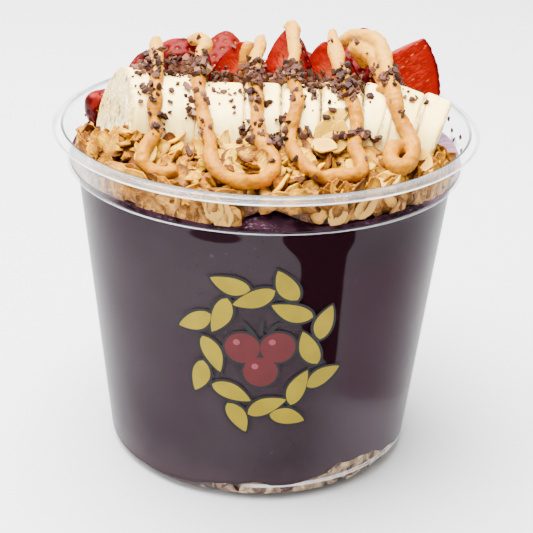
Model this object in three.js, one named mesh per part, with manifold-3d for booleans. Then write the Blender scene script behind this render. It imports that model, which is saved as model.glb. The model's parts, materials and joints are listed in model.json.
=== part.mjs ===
// Acai bowl in a clear deli cup: a granola base, the acai fill, and a heap of granola, banana slices,
// strawberry pieces, nut butter strands and cacao nibs.
// Millimetres, +Z up, origin at the centre of the cup's foot. The front is -Y.
import * as THREE from 'three';
import { mergeVertices } from 'three/addons/utils/BufferGeometryUtils.js';
import Module from 'manifold-3d';

const wasm = await Module();
wasm.setup();

// ---------------------------------------------------------------- driving dimensions
const RAD = Math.PI / 180;
const GAP = 0.3; // clearance between neighbouring pieces
const CUP = {
  segments: 40,
  wall: 0.8,
  rimRadius: 58.5,
  height: 96.3,
  lipHeight: 2.1,
  lipWidth: 3.1,
  collarTopRadius: 55.9,
  collarFootRadius: 54.6,
  ledgeHeight: 84.9,
  wallTopRadius: 52.4,
  heelRadius: 44.07,
  heelFillet: 3.8,
  footInnerRadius: 36.8,
  panelRadius: 35.5,
  panelLift: 1.2,
};
const ACAI = { rimLevel: 86.9, moundHeight: 3.6, moundX: 27, moundY: 13, centreY: 12 };
const BASE_LAYER = { meanLevel: 6.8, swing: 2.2, thickestAt: 310 * RAD };
const GRANOLA = {
  wallLevel: 92.3,
  leftBank: 4,
  slope: 0.21,
  innerY: -14,
  from: 198 * RAD,
  to: 338 * RAD,
  outerRadius: 52.0,
  overhangLift: 1.6,
  gapAt: 272 * RAD,
};
const SLICE = { y: -10.4, sides: 15, bevel: 0.5, bedClearance: 1.5 };
const STRAND = { radius: 1.95, sides: 6, step: 4.3 };
const VIEW_TILT = 25 * RAD; // the strands and nibs are laid on the heap along this sloping direction

// Banana slices from left to right: middle of the slice, thickness, radius, lean and turn in degrees.
const BANANA_ROW = [
  { x: -38.2, z: 96.6, thick: 6.5, radius: 15.4, lean: 15, turn: 20 },
  { x: -25.6, z: 95.3, thick: 11.2, radius: 15.3, lean: 5, turn: 8 },
  { x: -12.9, z: 93.3, thick: 12.9, radius: 15.3, lean: 1, turn: 3 },
  { x: -1.4, z: 93.4, thick: 9.6, radius: 15.4, lean: 1, turn: 1 },
  { x: 8.7, z: 93.5, thick: 10.1, radius: 15.2, lean: 1, turn: 0 },
  { x: 19.1, z: 93.9, thick: 10.5, radius: 15.4, lean: 3, turn: 0 },
  { x: 27.2, z: 94.3, thick: 7.3, radius: 15.3, lean: 10, turn: -2 },
  { x: 33.2, z: 94.2, thick: 9.6, radius: 15.3, lean: 17, turn: -6 },
  { x: 41.4, z: 92.8, thick: 7.6, radius: 14.7, lean: 16, turn: -12 },
];

// Strawberry pieces: calyx end and tip, greatest radius, the turn of the cut face from the front, where
// the cut runs (distance behind the axis), how thick the piece is and which side of the cut it lies.
// A crown is the length that was cut off with the calyx.
const BERRIES = [
  { calyx: [-26.6, 17, 104.8], tip: [-40.4, 12, 94.8], radius: 8.7, turn: 20, cut: 4, thick: 12,
    keep: 'front' },
  { calyx: [-24.5, 16, 113.6], tip: [-24, 9, 87], radius: 8.2, turn: 5, cut: 2, thick: 11, keep: 'front' },
  { calyx: [-14, 27, 89], tip: [-12.5, 35, 110.8], radius: 10.5, turn: 5, cut: 0, thick: 12, keep: 'front' },
  { calyx: [-7.8, 9.5, 91.5], tip: [-7.6, 17, 113], radius: 10.5, turn: -12, cut: 0, thick: 7, keep: 'back' },
  { calyx: [5.3, 10, 91.5], tip: [5.8, 18.5, 117], radius: 8.6, turn: -30, cut: -2, thick: 9, keep: 'back' },
  { calyx: [18.5, 8, 91.5], tip: [16, 16, 114.2], radius: 10.4, turn: 6, cut: 0, thick: 7, keep: 'back' },
  { calyx: [27, 26, 89], tip: [27.5, 34, 113.4], radius: 10.5, turn: 10, cut: 0, thick: 12, keep: 'front' },
  { calyx: [35, 13.7, 118.2], tip: [45.6, 5, 84.5], radius: 9.3, turn: 4, cut: 1, thick: 7.5, keep: 'back',
    crown: 3.8 },
  { calyx: [-39.5, 16, 88], tip: [-49.5, 3, 99.5], radius: 7, turn: 35, cut: 3, thick: 10, keep: 'front' },
  { calyx: [-37, 25, 91], tip: [-23, 41, 91], radius: 8.5, turn: -40, cut: 1, thick: 12, keep: 'front' },
  { calyx: [9, 45, 90], tip: [8, 34, 103], radius: 9.5, turn: -8, cut: 0, thick: 10, keep: 'back' },
];

// Nut butter strands. Each point is a distance across and a distance up, seen along the laying direction.
const STRANDS_ON_BANANA = [
  [[-29.8, 97.9], [-30.6, 94], [-30.5, 89.1], [-30, 83.5]],
  [[-17.9, 99.1], [-18.5, 94.8], [-17.2, 89.3], [-15.9, 83.8], [-15.4, 81.3]],
  [[-3.6, 98.4], [-3.3, 94.9], [-2.7, 89.8], [-2.4, 84.3], [-1.9, 81.2]],
  [[6.6, 99.4], [7.2, 94.4], [8.1, 91.1], [7.4, 87.2], [6.6, 83.4]],
  [[22.2, 90], [22.8, 88], [23.5, 84.3], [23.2, 81.9]],
  [[29.7, 93.9], [31.9, 96.1], [34, 93.7], [34.7, 89.9], [35.7, 86.2], [37.2, 84.3]],
];
const STRANDS_ON_GRANOLA = [
  [[-28.1, 80.2], [-29.5, 77.2], [-30.7, 74.5], [-30.5, 71.8], [-28.7, 70], [-25.2, 68.9], [-21.6, 69.8]],
  [[-14.2, 77.7], [-13.9, 75.6], [-13.3, 72.3], [-10.9, 69.2], [-7.3, 67.4], [-2.9, 67.2], [0.6, 68.5],
    [2.4, 71.6], [2, 74.2], [-0.1, 76.4]],
  [[6.5, 79], [6.6, 77.2], [8.2, 74.3], [11.1, 71.1], [14.2, 69.2], [18.3, 69.6], [22.4, 70], [24.4, 71.5],
    [23.9, 74.5], [22, 77.4]],
  [[37.2, 80], [38.2, 78.3], [38.4, 75.4], [36.9, 72.7], [34.3, 71.7], [31.7, 73.1], [30.8, 76.1],
    [31.5, 78.6], [34, 79]],
];
const STRANDS_ON_BERRIES = [
  { berry: 2, points: [[-30.8, 107.4], [-30.6, 105.9], [-30.2, 103.4], [-29.8, 101.8]] },
  { berry: 2, points: [[-23, 107.9], [-20.9, 109.4], [-19.1, 109.5], [-17.5, 108.1], [-17.5, 106.1],
    [-19.1, 104.3]] },
  { berry: 4, points: [[-5.6, 109.2], [-6.3, 106.1], [-6.6, 103.1]] },
  { berry: 4, points: [[-2.2, 110], [-2.4, 106.5], [-3.2, 103.2]] },
  { berry: 5, points: [[4.9, 112.9], [6.6, 113.6], [6.6, 111.7], [6.7, 108.7], [7.1, 104.8], [6.9, 103]] },
  { berry: 6, points: [[17.3, 112], [17.7, 108.7], [18.5, 104.2], [18.9, 100.4]] },
  { berry: 7, points: [[20.9, 112], [24.7, 112.4], [28.6, 111.6], [31, 109.9]] },
  { berry: 7, points: [[24.5, 111.7], [26.7, 108.9], [26.9, 106.1]] },
  { berry: 7, points: [[28.2, 110.1], [29.1, 106.8], [30.9, 104.2], [32.4, 101.4]] },
];

// Cacao nibs are scattered over these fields: centre and half size across and up, and how many.
const NIB_FIELDS = [
  { x: -22, up: 99, halfX: 14, halfUp: 2.5, count: 13 },
  { x: 6, up: 99, halfX: 15, halfUp: 2.5, count: 12 },
  { x: 21, up: 96, halfX: 5, halfUp: 5, count: 9 },
  { x: 34, up: 98, halfX: 10, halfUp: 2.5, count: 7 },
  { x: 4, up: 89, halfX: 40, halfUp: 7, count: 14 },
  { x: 4, up: 79, halfX: 34, halfUp: 2.5, count: 7 },
];
const NIB = { least: 1.0, most: 1.9 };

const FLAKE = { length: 9.5, width: 7.5, thick: 1.5, sides: 6, spacing: 5.8 };
const FLAKES_ON_TOP = { count: 34, innerY: -24, wallInset: 1.5, lift: 1.1 };
const FLAKES_AT_WALL = { count: 18, level: 89.2, spread: 2.6, wallInset: 1.3, gapLimit: 0.4 };
const ALMOND = { length: 14, width: 8.5, thick: 1.3, sides: 9 };
const ALMONDS = [
  { across: 18, up: 84, on: 'slice' },
  { across: 15, up: 78.5, on: 'granola' },
  { across: 0, up: 64.5, on: 'granola' },
  { across: 32, up: 66, on: 'granola' },
];

// ---------------------------------------------------------------- materials
function finish(color, roughness) {
  return new THREE.MeshStandardMaterial({ color, roughness, metalness: 0 });
}
const clearPlastic = finish(0xe9edf0, 0.08);
const acaiBlend = finish(0x35202c, 0.45);
const toastedOats = finish(0xd9ae74, 0.75);
const bananaFlesh = finish(0xf3e8cd, 0.5);
const strawberryFlesh = finish(0xc4202a, 0.35);

// ---------------------------------------------------------------- solids
/** A repeatable stream of numbers between 0 and 1. */
function randomStream(seed) {
  let state = seed;
  return () => {
    state = (state + 0x6d2b79f5) | 0;
    let t = Math.imul(state ^ (state >>> 15), 1 | state);
    t = (t + Math.imul(t ^ (t >>> 7), 61 | t)) ^ t;
    return ((t ^ (t >>> 14)) >>> 0) / 4294967296;
  };
}

/** Geometry with only merged positions, as a solid. */
function toSolid(geometry) {
  const bare = new THREE.BufferGeometry();
  bare.setAttribute('position', geometry.getAttribute('position'));
  bare.setIndex(geometry.index);
  const merged = mergeVertices(bare, 1e-4);
  const triVerts = [];
  const index = merged.index.array;
  for (let i = 0; i < index.length; i += 3) {
    const [a, b, c] = [index[i], index[i + 1], index[i + 2]];
    if (a !== b && b !== c && c !== a) triVerts.push(a, b, c);
  }
  const vertProperties = Float32Array.from(merged.attributes.position.array);
  const mesh = new wasm.Mesh({ numProp: 3, vertProperties, triVerts: Uint32Array.from(triVerts) });
  return new wasm.Manifold(mesh);
}

/** The vertices and triangles of a solid as a three.js geometry, in the frame of `placement`. */
function toGeometry(solid, placement = new THREE.Matrix4()) {
  const mesh = solid.getMesh();
  const geometry = new THREE.BufferGeometry();
  geometry.setAttribute('position', new THREE.BufferAttribute(Float32Array.from(mesh.vertProperties), 3));
  geometry.setIndex([...mesh.triVerts]);
  geometry.applyMatrix4(placement.clone().invert());
  geometry.computeVertexNormals();
  return geometry;
}

/** A closed skin over rings of points that run anticlockwise around the way forward; the ends are poles. */
function ringSolid(start, rings, end) {
  const sides = rings[0].length;
  const points = [start, ...rings.flat(), end];
  const index = [];
  const at = (ring, side) => 1 + ring * sides + (side % sides);
  for (let side = 0; side < sides; side += 1) {
    index.push(0, at(0, side + 1), at(0, side));
    for (let ring = 0; ring + 1 < rings.length; ring += 1) {
      index.push(at(ring, side), at(ring, side + 1), at(ring + 1, side + 1));
      index.push(at(ring, side), at(ring + 1, side + 1), at(ring + 1, side));
    }
    index.push(at(rings.length - 1, side), at(rings.length - 1, side + 1), points.length - 1);
  }
  const geometry = new THREE.BufferGeometry().setFromPoints(points);
  geometry.setIndex(index);
  return toSolid(geometry);
}

function ring(sides, pointAt) {
  return Array.from({ length: sides }, (_, side) => pointAt((side / sides) * 2 * Math.PI));
}

function fuse(solids) {
  return solids.reduce((whole, solid) => whole.add(solid));
}

function cutAway(solid, cutters) {
  return cutters.reduce((rest, cutter) => rest.subtract(cutter), solid);
}

/** The largest connected part, without loose scraps and sealed hollows. */
function mainBody(solid) {
  return solid.decompose().reduce((best, part) => (part.volume() > best.volume() ? part : best));
}

function placed(solid, matrix) {
  return solid.transform(matrix.elements);
}

// ---------------------------------------------------------------- cup
/** Heel arc of a radius about the fillet's centre, from the foot to the wall. */
function heelArc(radius) {
  const centre = new THREE.Vector2(CUP.heelRadius - CUP.heelFillet, CUP.heelFillet);
  const steps = 3;
  const wallTurn = -Math.atan2(CUP.wallTopRadius - CUP.heelRadius, CUP.ledgeHeight - CUP.heelFillet);
  return Array.from({ length: steps + 1 }, (_, step) => {
    const turn = -Math.PI / 2 + (step / steps) * (wallTurn + Math.PI / 2);
    return new THREE.Vector2(radius * Math.cos(turn), radius * Math.sin(turn)).add(centre);
  });
}

function cupProfile() {
  const { wall, height, lipHeight, rimRadius, lipWidth, ledgeHeight, panelLift } = CUP;
  const lipFoot = height - lipHeight;
  const outside = [
    [0, panelLift],
    [CUP.panelRadius, panelLift],
    [CUP.footInnerRadius, 0],
  ];
  const shoulder = [
    [CUP.wallTopRadius, ledgeHeight - 0.2],
    [CUP.collarFootRadius - 0.4, ledgeHeight],
    [CUP.collarFootRadius, ledgeHeight + 0.5],
    [CUP.collarTopRadius, lipFoot],
    [rimRadius - 0.6, lipFoot],
    [rimRadius, lipFoot + 0.7],
    [rimRadius, height - 0.7],
    [rimRadius - 0.8, height],
    [rimRadius - lipWidth + 0.9, height],
    [CUP.collarTopRadius - wall, lipFoot],
    [CUP.collarFootRadius - wall, ledgeHeight + 0.9],
    [CUP.wallTopRadius - wall, ledgeHeight + 0.55],
  ];
  const inside = [
    [CUP.footInnerRadius + 0.5, wall],
    [CUP.panelRadius + 0.5, panelLift + wall],
    [0, panelLift + wall],
  ];
  const toPoints = (pairs) => pairs.map(([radius, level]) => new THREE.Vector2(radius, level));
  return [
    ...toPoints(outside),
    ...heelArc(CUP.heelFillet),
    ...toPoints(shoulder),
    ...heelArc(CUP.heelFillet - wall).reverse(),
    ...toPoints(inside),
  ];
}

function cupSolid() {
  const lathe = new THREE.LatheGeometry(cupProfile(), CUP.segments);
  lathe.rotateX(Math.PI / 2);
  return toSolid(lathe);
}

/** Radius of the food against the inside of the cup at a level. */
function cavityRadius(level) {
  const ledgeTop = CUP.ledgeHeight + 1.4;
  const inset = CUP.wall + GAP;
  if (level < CUP.heelFillet) {
    const reach = CUP.heelFillet - inset;
    const drop = Math.min(CUP.heelFillet - level, reach);
    return CUP.heelRadius - CUP.heelFillet + Math.sqrt(reach * reach - drop * drop);
  }
  if (level <= CUP.ledgeHeight + 0.95) {
    const taper = (CUP.wallTopRadius - CUP.heelRadius) / (CUP.ledgeHeight - CUP.heelFillet);
    return CUP.heelRadius - inset + taper * (level - CUP.heelFillet);
  }
  const flare = (CUP.collarTopRadius - CUP.collarFootRadius) / (CUP.height - CUP.lipHeight - CUP.ledgeHeight);
  return CUP.collarFootRadius - inset - 0.1 + flare * (level - ledgeTop);
}

// ---------------------------------------------------------------- fills
function acaiTop(x, y) {
  const mound = Math.exp(-((x / ACAI.moundX) ** 2) - ((y - ACAI.centreY) / ACAI.moundY) ** 2);
  const ripple = 0.35 * Math.sin(x / 6 + 1) * Math.cos(y / 7);
  return ACAI.rimLevel + ACAI.moundHeight * mound + ripple;
}

function baseLayerTop(x, y) {
  const turn = Math.atan2(y, x);
  const reach = Math.hypot(x, y) / CUP.heelRadius;
  const waves = 0.5 * Math.sin(7 * turn + 1) + 0.3 * Math.sin(11 * turn);
  return BASE_LAYER.meanLevel + reach * (BASE_LAYER.swing * Math.cos(turn - BASE_LAYER.thickestAt) + waves);
}

/** A fill between two surfaces and the wall, with rings on its side at the given levels. */
function fillSolid(bottomAt, topAt, sideLevels) {
  const sides = 40;
  const shares = [0.4, 0.75];
  const probe = CUP.wallTopRadius - CUP.wall;
  const wallPoint = (turn, level) => {
    const radius = cavityRadius(level);
    return new THREE.Vector3(radius * Math.cos(turn), radius * Math.sin(turn), level);
  };
  const edge = (turn, surface) => {
    return wallPoint(turn, surface(probe * Math.cos(turn), probe * Math.sin(turn)));
  };
  const inner = (turn, surface, share) => {
    const rim = edge(turn, surface);
    return new THREE.Vector3(rim.x * share, rim.y * share, surface(rim.x * share, rim.y * share));
  };
  const rings = [
    ...shares.map((share) => ring(sides, (turn) => inner(turn, bottomAt, share))),
    ring(sides, (turn) => edge(turn, bottomAt)),
    ...sideLevels.map((level) => ring(sides, (turn) => wallPoint(turn, level))),
    ring(sides, (turn) => edge(turn, topAt)),
    ...shares.toReversed().map((share) => ring(sides, (turn) => inner(turn, topAt, share))),
  ];
  const centre = (surface) => new THREE.Vector3(0, 0, surface(0, 0));
  return ringSolid(centre(bottomAt), rings, centre(topAt));
}

const floorLevel = CUP.panelLift + CUP.wall + GAP;
const baseLayerSolid = fillSolid(() => floorLevel, (x, y) => baseLayerTop(x, y) - 2 * GAP, [2.6]);
const acaiSideLevels = [14, CUP.ledgeHeight, CUP.ledgeHeight + 0.9, CUP.ledgeHeight + 1.5];
const acaiBottom = baseLayerTop;
const acaiSolid = fillSolid(acaiBottom, acaiTop, acaiSideLevels);
const acaiCutter = fillSolid(acaiBottom, (x, y) => acaiTop(x, y) + GAP, acaiSideLevels);

// ---------------------------------------------------------------- banana slices
/** A slice across the banana: its axis is X, its outline slightly five-sided. */
function sliceSolid({ thick, radius }, grow = 0) {
  const half = thick / 2 + grow;
  const { sides, bevel } = SLICE;
  const outline = (along, size) => ring(sides, (turn) => {
    const reach = size * (1 + 0.012 * Math.cos(5 * turn));
    return new THREE.Vector3(along, reach * Math.cos(turn), reach * Math.sin(turn));
  });
  const full = radius + grow;
  return ringSolid(
    new THREE.Vector3(-half, 0, 0),
    [outline(-half, full - bevel), outline(bevel - half, full), outline(half - bevel, full),
      outline(half, full - bevel)],
    new THREE.Vector3(half, 0, 0),
  );
}

function sliceMatrix({ x, z, lean, turn }) {
  const rotation = new THREE.Euler(0, lean * RAD, turn * RAD, 'ZYX');
  const holder = new THREE.Object3D();
  holder.position.set(x, SLICE.y, z);
  holder.rotation.copy(rotation);
  holder.updateMatrix();
  return holder.matrix;
}

/** The space between the two cut faces of a slice, narrower or wider than the slice by a margin. */
function sliceSlab({ thick }, margin) {
  const size = 90; // wider than any slice with what lies on it
  return toSolid(new THREE.BoxGeometry(thick + 2 * margin, size, size));
}

/** The bed of the whole row: a lying trough that holds every slice, with the fitting gap. */
function rowCutter() {
  const { sides } = SLICE;
  const tiltOf = ({ lean, turn }) => Math.sqrt(1 - (Math.cos(lean * RAD) * Math.cos(turn * RAD)) ** 2);
  const reachAt = (slice) => slice.thick / 2 + GAP + slice.radius * tiltOf(slice);
  const first = BANANA_ROW[0];
  const last = BANANA_ROW.at(-1);
  const stops = [
    { ...first, x: first.x - reachAt(first) },
    ...BANANA_ROW,
    { ...last, x: last.x + last.thick / 2 + SLICE.bedClearance },
  ];
  const rings = stops.map(({ x, z, radius }) => ring(sides, (turn) => new THREE.Vector3(
    x,
    SLICE.y + (radius + SLICE.bedClearance) * Math.cos(turn),
    z + (radius + SLICE.bedClearance) * Math.sin(turn),
  )));
  const poleOf = ({ x, z }) => new THREE.Vector3(x, SLICE.y, z);
  return ringSolid(poleOf(stops[0]), rings, poleOf(stops.at(-1)));
}

const slices = BANANA_ROW.map((row, order) => {
  const matrix = sliceMatrix(row);
  return {
    name: `banana_slice_${order + 1}`,
    matrix,
    body: placed(sliceSolid(row), matrix),
    cutter: placed(sliceSolid(row, GAP), matrix),
    slab: placed(sliceSlab(row, -GAP / 2), matrix),
    wideSlab: placed(sliceSlab(row, GAP / 2), matrix),
  };
});
slices.forEach((slice, order) => {
  if (order > 0) {
    slice.body = slice.body.subtract(slices[order - 1].cutter);
    slice.slab = slice.slab.subtract(slices[order - 1].wideSlab);
  }
});
const rowBed = rowCutter();

// ---------------------------------------------------------------- strawberries
/** A whole berry with its calyx end at the origin and its tip on +Z. */
function berrySolid(length, radius, grow = 0) {
  const stations = [0.03, 0.14, 0.34, 0.56, 0.76, 0.92];
  const sides = 10;
  const girth = (share) => radius * Math.sin(Math.PI * share ** 0.62) ** 0.64 + grow;
  const rings = stations.map((share) => ring(sides, (turn) => new THREE.Vector3(
    girth(share) * Math.cos(turn),
    girth(share) * Math.sin(turn),
    share * length,
  )));
  return ringSolid(new THREE.Vector3(0, 0, -grow), rings, new THREE.Vector3(0, 0, length + grow));
}

/** Across, back and along the berry at its calyx end; back points away from the front. */
function berryMatrix({ calyx, tip, turn }) {
  const from = new THREE.Vector3(...calyx);
  const along = new THREE.Vector3(...tip).sub(from).normalize();
  const across = new THREE.Vector3(Math.cos(turn * RAD), Math.sin(turn * RAD), 0);
  const back = new THREE.Vector3().crossVectors(along, across).normalize();
  if (back.y < 0) back.negate();
  across.crossVectors(back, along);
  return new THREE.Matrix4().makeBasis(across, back, along).setPosition(from);
}

/** The slab of a berry that a piece was cut as. */
function berrySlab({ cut, thick, keep, crown = -5 }, grow) {
  const size = 80; // wider than any berry
  const middle = keep === 'back' ? cut + thick / 2 : cut - thick / 2;
  const slab = new THREE.BoxGeometry(size, thick + 2 * grow, size);
  return toSolid(slab.translate(0, middle, size / 2 + crown - grow));
}

const berries = BERRIES.map((shape, order) => {
  const length = new THREE.Vector3(...shape.calyx).distanceTo(new THREE.Vector3(...shape.tip));
  const matrix = berryMatrix(shape);
  const piece = (grow) => placed(
    berrySolid(length, shape.radius, grow).intersect(berrySlab(shape, grow)),
    matrix,
  );
  return { name: `strawberry_piece_${order + 1}`, matrix, body: piece(0), cutter: piece(GAP) };
});
berries.forEach((berry, order) => {
  const before = berries.slice(0, order).map((other) => other.cutter);
  berry.body = mainBody(cutAway(berry.body, [rowBed, acaiCutter, ...before]));
});

// ---------------------------------------------------------------- granola
/** A thin oval chip lying in XY. */
function chipSolid({ length, width, thick, sides }, grow = 0) {
  const outline = ring(sides, (turn) => new THREE.Vector3(
    (length / 2 + 2 * grow) * Math.cos(turn),
    (width / 2 + 2 * grow) * Math.sin(turn),
    0.05 * length * Math.cos(2 * turn),
  ));
  const half = thick / 2 + grow;
  return ringSolid(new THREE.Vector3(0, 0, -half), [outline], new THREE.Vector3(0, 0, half));
}

function chipMatrix(position, normal, spin) {
  const turned = new THREE.Quaternion().setFromUnitVectors(new THREE.Vector3(0, 0, 1), normal);
  turned.multiply(new THREE.Quaternion().setFromAxisAngle(new THREE.Vector3(0, 0, 1), spin));
  return new THREE.Matrix4().compose(position, turned, new THREE.Vector3(1, 1, 1));
}

function granolaTop(x, y) {
  const reach = Math.hypot(x, y);
  const lumps = 0.8 * Math.sin(x / 3.1) * Math.cos(y / 3.7) + 0.5 * Math.sin(x / 1.9 + y / 2.3);
  const leftBank = GRANOLA.leftBank * Math.exp(-(((x + 38) / 13) ** 2) - ((y + 26) / 12) ** 2);
  return GRANOLA.wallLevel + GRANOLA.slope * (CUP.collarFootRadius - reach) + leftBank + lumps;
}

/** How much of the front gap in the granola shows at a turn around the cup, 0 to 1. */
function frontGap(turn) {
  return Math.exp(-(((turn - GRANOLA.gapAt) / (9 * RAD)) ** 2));
}

/** The crescent under the flakes, from the wall to inside the banana row. */
function granolaCore() {
  const { from, to, innerY, outerRadius, overhangLift } = GRANOLA;
  const steps = 22;
  const shares = [0, 0.25, 1];
  const rings = Array.from({ length: steps + 1 }, (_, step) => {
    const turn = from + (step / steps) * (to - from);
    const outer = outerRadius - 4 * frontGap(turn) + 0.6 * Math.sin(9 * turn);
    const innerReach = Math.min(Math.abs(innerY / Math.sin(turn)), outer - 5);
    const at = (share, level) => {
      const reach = outer + share * (innerReach - outer);
      const [x, y] = [reach * Math.cos(turn), reach * Math.sin(turn)];
      return new THREE.Vector3(x, y, level(x, y, share));
    };
    const under = (x, y, share) => acaiTop(x, y) + 3 * GAP
      + overhangLift * (1 - share) * (1 + 0.4 * Math.sin(13 * turn) + 1.2 * frontGap(turn));
    const over = (x, y, share) => granolaTop(x, y) - (share === 0 ? 1.2 : 0);
    return [
      ...shares.toReversed().map((share) => at(share, over)),
      ...shares.map((share) => at(share, under)),
    ];
  });
  const middle = (points) => points.reduce((sum, point) => sum.add(point), new THREE.Vector3())
    .divideScalar(points.length);
  return ringSolid(middle(rings[0]), rings, middle(rings.at(-1)));
}

/** The room for food inside the collar, up past the heap. */
function cavitySolid() {
  const level = CUP.ledgeHeight + 1.5;
  const top = CUP.height + 30;
  const profile = [
    [0, level],
    [cavityRadius(level), level],
    [cavityRadius(top), top],
    [0, top],
  ].map(([radius, height]) => new THREE.Vector2(radius, height));
  const lathe = new THREE.LatheGeometry(profile, CUP.segments);
  lathe.rotateX(Math.PI / 2);
  return toSolid(lathe);
}

function flakesOnTop(random) {
  const spots = [];
  const { count, innerY, wallInset, lift } = FLAKES_ON_TOP;
  for (let attempt = 0; attempt < 40 * count && spots.length < count; attempt += 1) {
    const turn = GRANOLA.from + random() * (GRANOLA.to - GRANOLA.from);
    const innerReach = Math.abs(innerY / Math.sin(turn));
    const outerReach = GRANOLA.outerRadius - wallInset;
    const reach = outerReach + random() * Math.min(innerReach - outerReach, -2);
    const spot = new THREE.Vector3(reach * Math.cos(turn), reach * Math.sin(turn), 0);
    spot.z = granolaTop(spot.x, spot.y) + lift;
    if (spots.every((other) => other.distanceTo(spot) > FLAKE.spacing)) spots.push(spot);
  }
  return spots.map((spot) => {
    const normal = new THREE.Vector3(1.5 * random() - 0.75, 1.2 * random() - 1, 0.8).normalize();
    return placed(chipSolid(FLAKE), chipMatrix(spot, normal, random() * Math.PI));
  });
}

function flakesAtWall(random) {
  const { count, spread, wallInset, gapLimit } = FLAKES_AT_WALL;
  const turns = Array.from({ length: count }, (_, order) => {
    const share = (order + 0.7 * random()) / count;
    return GRANOLA.from + share * (GRANOLA.to - GRANOLA.from);
  });
  return turns.filter((turn) => frontGap(turn) < gapLimit).map((turn) => {
    const level = FLAKES_AT_WALL.level + spread * random() + 2 * frontGap(turn);
    const reach = cavityRadius(level) - wallInset;
    const position = new THREE.Vector3(reach * Math.cos(turn), reach * Math.sin(turn), level);
    const normal = new THREE.Vector3(Math.cos(turn), Math.sin(turn), 0.5 * random()).normalize();
    return placed(chipSolid(FLAKE), chipMatrix(position, normal, random() * Math.PI));
  });
}

// ---------------------------------------------------------------- laying things on the heap
const layingDirection = new THREE.Vector3(0, Math.cos(VIEW_TILT), -Math.sin(VIEW_TILT));
const upAcross = new THREE.Vector3(0, Math.sin(VIEW_TILT), Math.cos(VIEW_TILT));

function surfaceOf(solid) {
  return new THREE.Mesh(toGeometry(solid), new THREE.MeshBasicMaterial({ side: THREE.DoubleSide }));
}

/** Where a point seen across and up lands on the first of some surfaces, or null. */
function landing(across, up, surfaces) {
  const start = upAcross.clone().multiplyScalar(up).addScaledVector(layingDirection, -300);
  start.x += across;
  const hits = new THREE.Raycaster(start, layingDirection).intersectObjects(surfaces, false);
  return hits.length ? { start, hit: hits[0] } : { start, hit: null };
}

/** Points of a strand lying on the surfaces, at most half a strand above their outline. */
function drape(points, surfaces) {
  const fine = new THREE.SplineCurve(points.map(([across, up]) => new THREE.Vector2(across, up)));
  const steps = Math.max(3, Math.ceil(fine.getLength() / STRAND.step));
  const lie = ({ x, y }) => {
    const direct = landing(x, y, surfaces);
    const below = landing(x, y - STRAND.radius, surfaces);
    const hit = direct.hit ?? below.hit;
    return hit && direct.start.addScaledVector(layingDirection, hit.distance - 0.5 * STRAND.radius);
  };
  return fine.getSpacedPoints(steps).map(lie).filter(Boolean);
}

/** A round strand through the points, with rounded ends. */
function strandSolid(points, grow = 0) {
  const curve = new THREE.CatmullRomCurve3(points);
  const steps = points.length + 1;
  const frames = curve.computeFrenetFrames(steps, false);
  const girth = (step) => grow + STRAND.radius * (step === 0 || step === steps ? 0.55 : 1);
  const rings = frames.tangents.map((_, step) => {
    const centre = curve.getPointAt(step / steps);
    return ring(STRAND.sides, (turn) => centre.clone()
      .addScaledVector(frames.normals[step], girth(step) * Math.cos(turn))
      .addScaledVector(frames.binormals[step], girth(step) * Math.sin(turn)));
  });
  const tipLength = grow + 0.6 * STRAND.radius;
  const start = curve.getPointAt(0).addScaledVector(frames.tangents[0], -tipLength);
  const end = curve.getPointAt(1).addScaledVector(frames.tangents[steps], tipLength);
  return ringSolid(start, rings, end);
}

function nibSolid(size, random) {
  const chip = new THREE.OctahedronGeometry(size);
  chip.scale(1, 0.75, 0.6);
  chip.rotateX(random() * Math.PI);
  chip.rotateZ(random() * Math.PI);
  chip.setIndex([...Array(chip.attributes.position.count).keys()]);
  return toSolid(chip);
}

// ---------------------------------------------------------------- assembly of the heap
const random = randomStream(37);
const cavity = cavitySolid();

/** A strand laid on the surfaces, with the same strand grown by the gap to keep others clear of it. */
function layStrand(points, surfaces) {
  const path = drape(points, surfaces);
  return { solid: strandSolid(path), cutter: strandSolid(path, GAP) };
}

function layAlmonds(kind, surfaces) {
  return ALMONDS.filter(({ on }) => on === kind).map(({ across, up }) => {
    const { hit } = landing(across, up, surfaces);
    const facing = hit.face.normal.clone().addScaledVector(layingDirection, -0.8).normalize();
    const matrix = chipMatrix(hit.point, facing, random() * Math.PI);
    return { solid: placed(chipSolid(ALMOND), matrix), cutter: placed(chipSolid(ALMOND, GAP), matrix) };
  });
}

/** Fuses things to a slice, each cut off at the slice's cut faces and clear of its neighbours. */
function addToSlice(order, things) {
  const neighbours = [slices[order - 1], slices[order + 1]].filter(Boolean).map(({ cutter }) => cutter);
  const own = cutAway(fuse(things).intersect(slices[order].slab), neighbours);
  slices[order].body = mainBody(slices[order].body.add(own));
}

const bananaSurfaces = slices.map((slice) => surfaceOf(slice.body));
const onBanana = [
  ...STRANDS_ON_BANANA.map((points) => layStrand(points, bananaSurfaces)),
  ...layAlmonds('slice', bananaSurfaces),
];
slices.forEach((_, order) => addToSlice(order, onBanana.map(({ solid }) => solid)));

const onBerries = STRANDS_ON_BERRIES.map(({ berry, points }) => {
  return { owner: berries[berry - 1], ...layStrand(points, [surfaceOf(berries[berry - 1].body)]) };
});
berries.forEach((berry, order) => {
  const own = onBerries.filter(({ owner }) => owner === berry);
  const foreign = onBerries.filter(({ owner }) => berries.indexOf(owner) < order);
  const others = berries.filter((other) => other !== berry);
  const cutters = [...others, ...foreign, ...onBanana].map(({ cutter }) => cutter);
  berry.body = fuse([berry.body, ...own.map(({ solid }) => solid)]);
  berry.body = mainBody(cutAway(berry.body, [rowBed, ...cutters]));
});

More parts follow.
